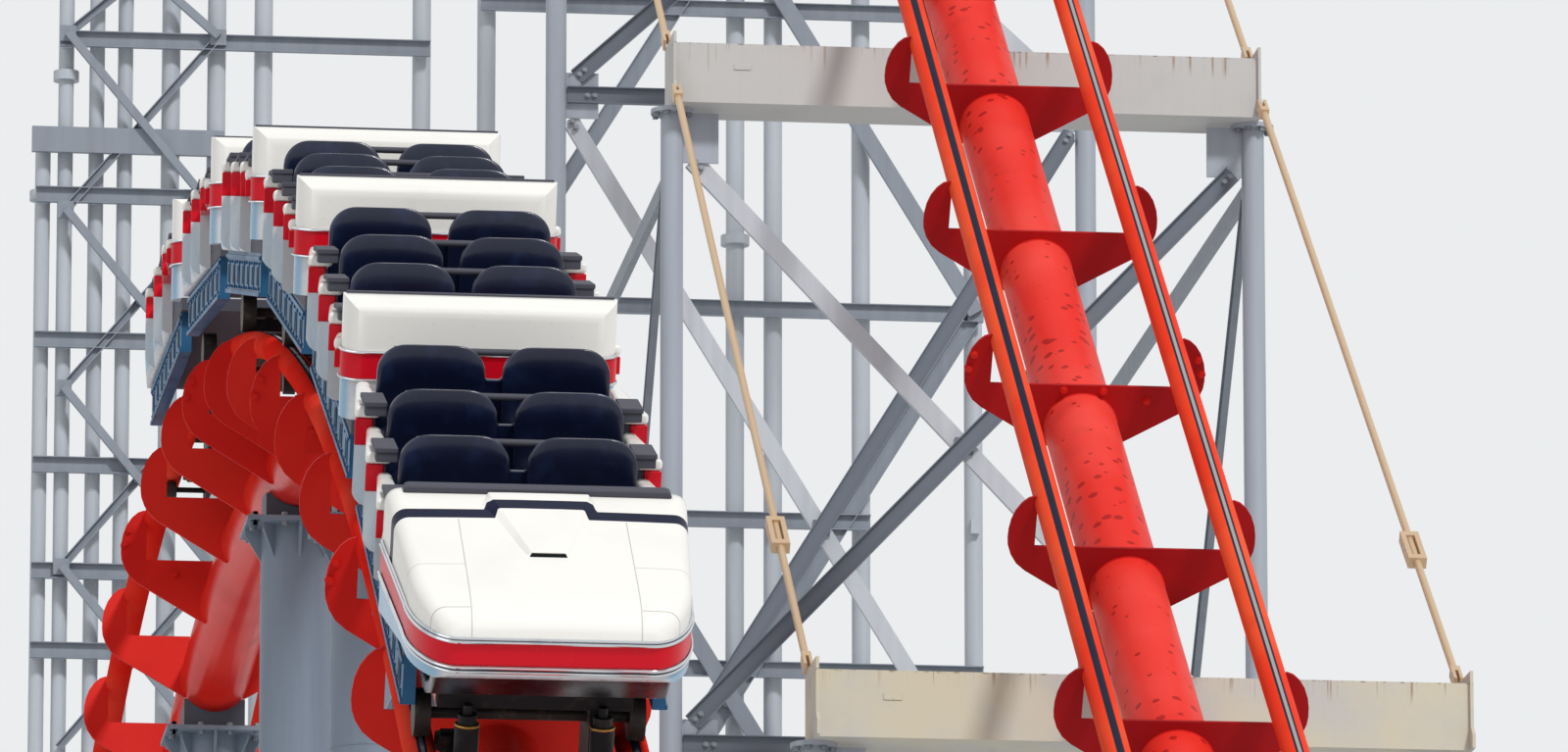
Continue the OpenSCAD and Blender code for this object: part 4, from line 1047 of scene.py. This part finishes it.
class COASTER_OT_stage(bpy.types.Operator):
    """Pale floor, soft light and the camera at the photograph's angle"""
    bl_idname = "coaster.stage"
    bl_label = "Stage"

    def execute(self, context):
        scene = context.scene
        mesh = bpy.data.meshes.new("studio_floor")
        corners = [(x * FLOOR_REACH, y * FLOOR_REACH, 0) for x, y in ((-1, -1), (1, -1), (1, 1), (-1, 1))]
        mesh.from_pydata(corners, [], [(0, 1, 2, 3)])
        floor = linked("studio_floor", mesh)
        paint = bpy.data.materials.new("pale_floor")
        paint.use_nodes = True
        sockets = paint.node_tree.nodes["Principled BSDF"].inputs
        sockets["Base Color"].default_value = (*scene.coaster_colours.floor, 1.0)
        sockets["Roughness"].default_value = 0.9
        mesh.materials.append(paint)
        for name, strength, size, turn in (("key_light", 2.1, 9, (48, 0, 24)),
                                           ("fill_light", 0.5, 60, (65, 0, -55))):
            light = bpy.data.lights.new(name, "SUN")
            light.energy, light.angle = strength, radians(size)
            linked(name, light).rotation_euler = [radians(a) for a in turn]
        world = bpy.data.worlds.new("studio_world")
        world.use_nodes = True
        tree = world.node_tree
        ray = add_node(tree, "ShaderNodeLightPath", out=None).outputs
        seen = add_node(tree, PLUS, (ray["Is Camera Ray"], ray["Is Glossy Ray"]))
        seen = add_node(tree, PLUS, (seen, ray["Is Transmission Ray"]), use_clamp=True)
        sky = tree.nodes["Background"].inputs
        sky["Color"].default_value = linear("F4F6F8")
        tree.links.new(add_node(tree, RANGE, (seen, 0.0, 1.0, SKY_LIGHT, SKY_SEEN)), sky["Strength"])
        scene.world = world
        lens = bpy.data.cameras.new("photo_camera")
        lens.lens, lens.sensor_width = LENS, 36.0
        lens.clip_start, lens.clip_end = 1.0, 1000.0
        scene.camera = linked("photo_camera", lens)
        scene.camera.location = CAMERA_AT
        scene.camera.rotation_euler = (radians(90 + CAMERA_TILT), 0, radians(CAMERA_TURN))
        scene.view_settings.view_transform = "Standard"
        return {"FINISHED"}


STEPS = (COASTER_OT_paint, COASTER_OT_nose, COASTER_OT_seats, COASTER_OT_car_trim, COASTER_OT_chassis,
         COASTER_OT_bolts, COASTER_OT_welds, COASTER_OT_stage)


class COASTER_PT_panel(bpy.types.Panel):
    """Lists the coaster's sizes, colours and making steps"""
    bl_idname = "COASTER_PT_panel"
    bl_label = "Roller coaster section"
    bl_space_type = "VIEW_3D"
    bl_region_type = "UI"
    bl_category = "Coaster"

    def draw(self, context):
        for group in (context.scene.coaster_sizes, context.scene.coaster_colours):
            for name in group.__annotations__:
                self.layout.prop(group, name)
        for step in STEPS:
            self.layout.operator(step.bl_idname)


CLASSES = (CoasterSizes, CoasterColours) + STEPS + (COASTER_PT_panel,)


def register():
    for kind in CLASSES:
        bpy.utils.register_class(kind)
    bpy.types.Scene.coaster_sizes = PointerProperty(type=CoasterSizes)
    bpy.types.Scene.coaster_colours = PointerProperty(type=CoasterColours)


def unregister():
    del bpy.types.Scene.coaster_colours
    del bpy.types.Scene.coaster_sizes
    for kind in reversed(CLASSES):
        bpy.utils.unregister_class(kind)


def main():
    register()
    bpy.ops.coaster.paint()
    bpy.ops.coaster.nose()
    bpy.ops.coaster.seats()
    bpy.ops.coaster.car_trim()
    bpy.ops.coaster.chassis()
    bpy.ops.coaster.bolts()
    bpy.ops.coaster.welds()
    bpy.ops.coaster.stage()


if __name__ == "__main__":
    main()
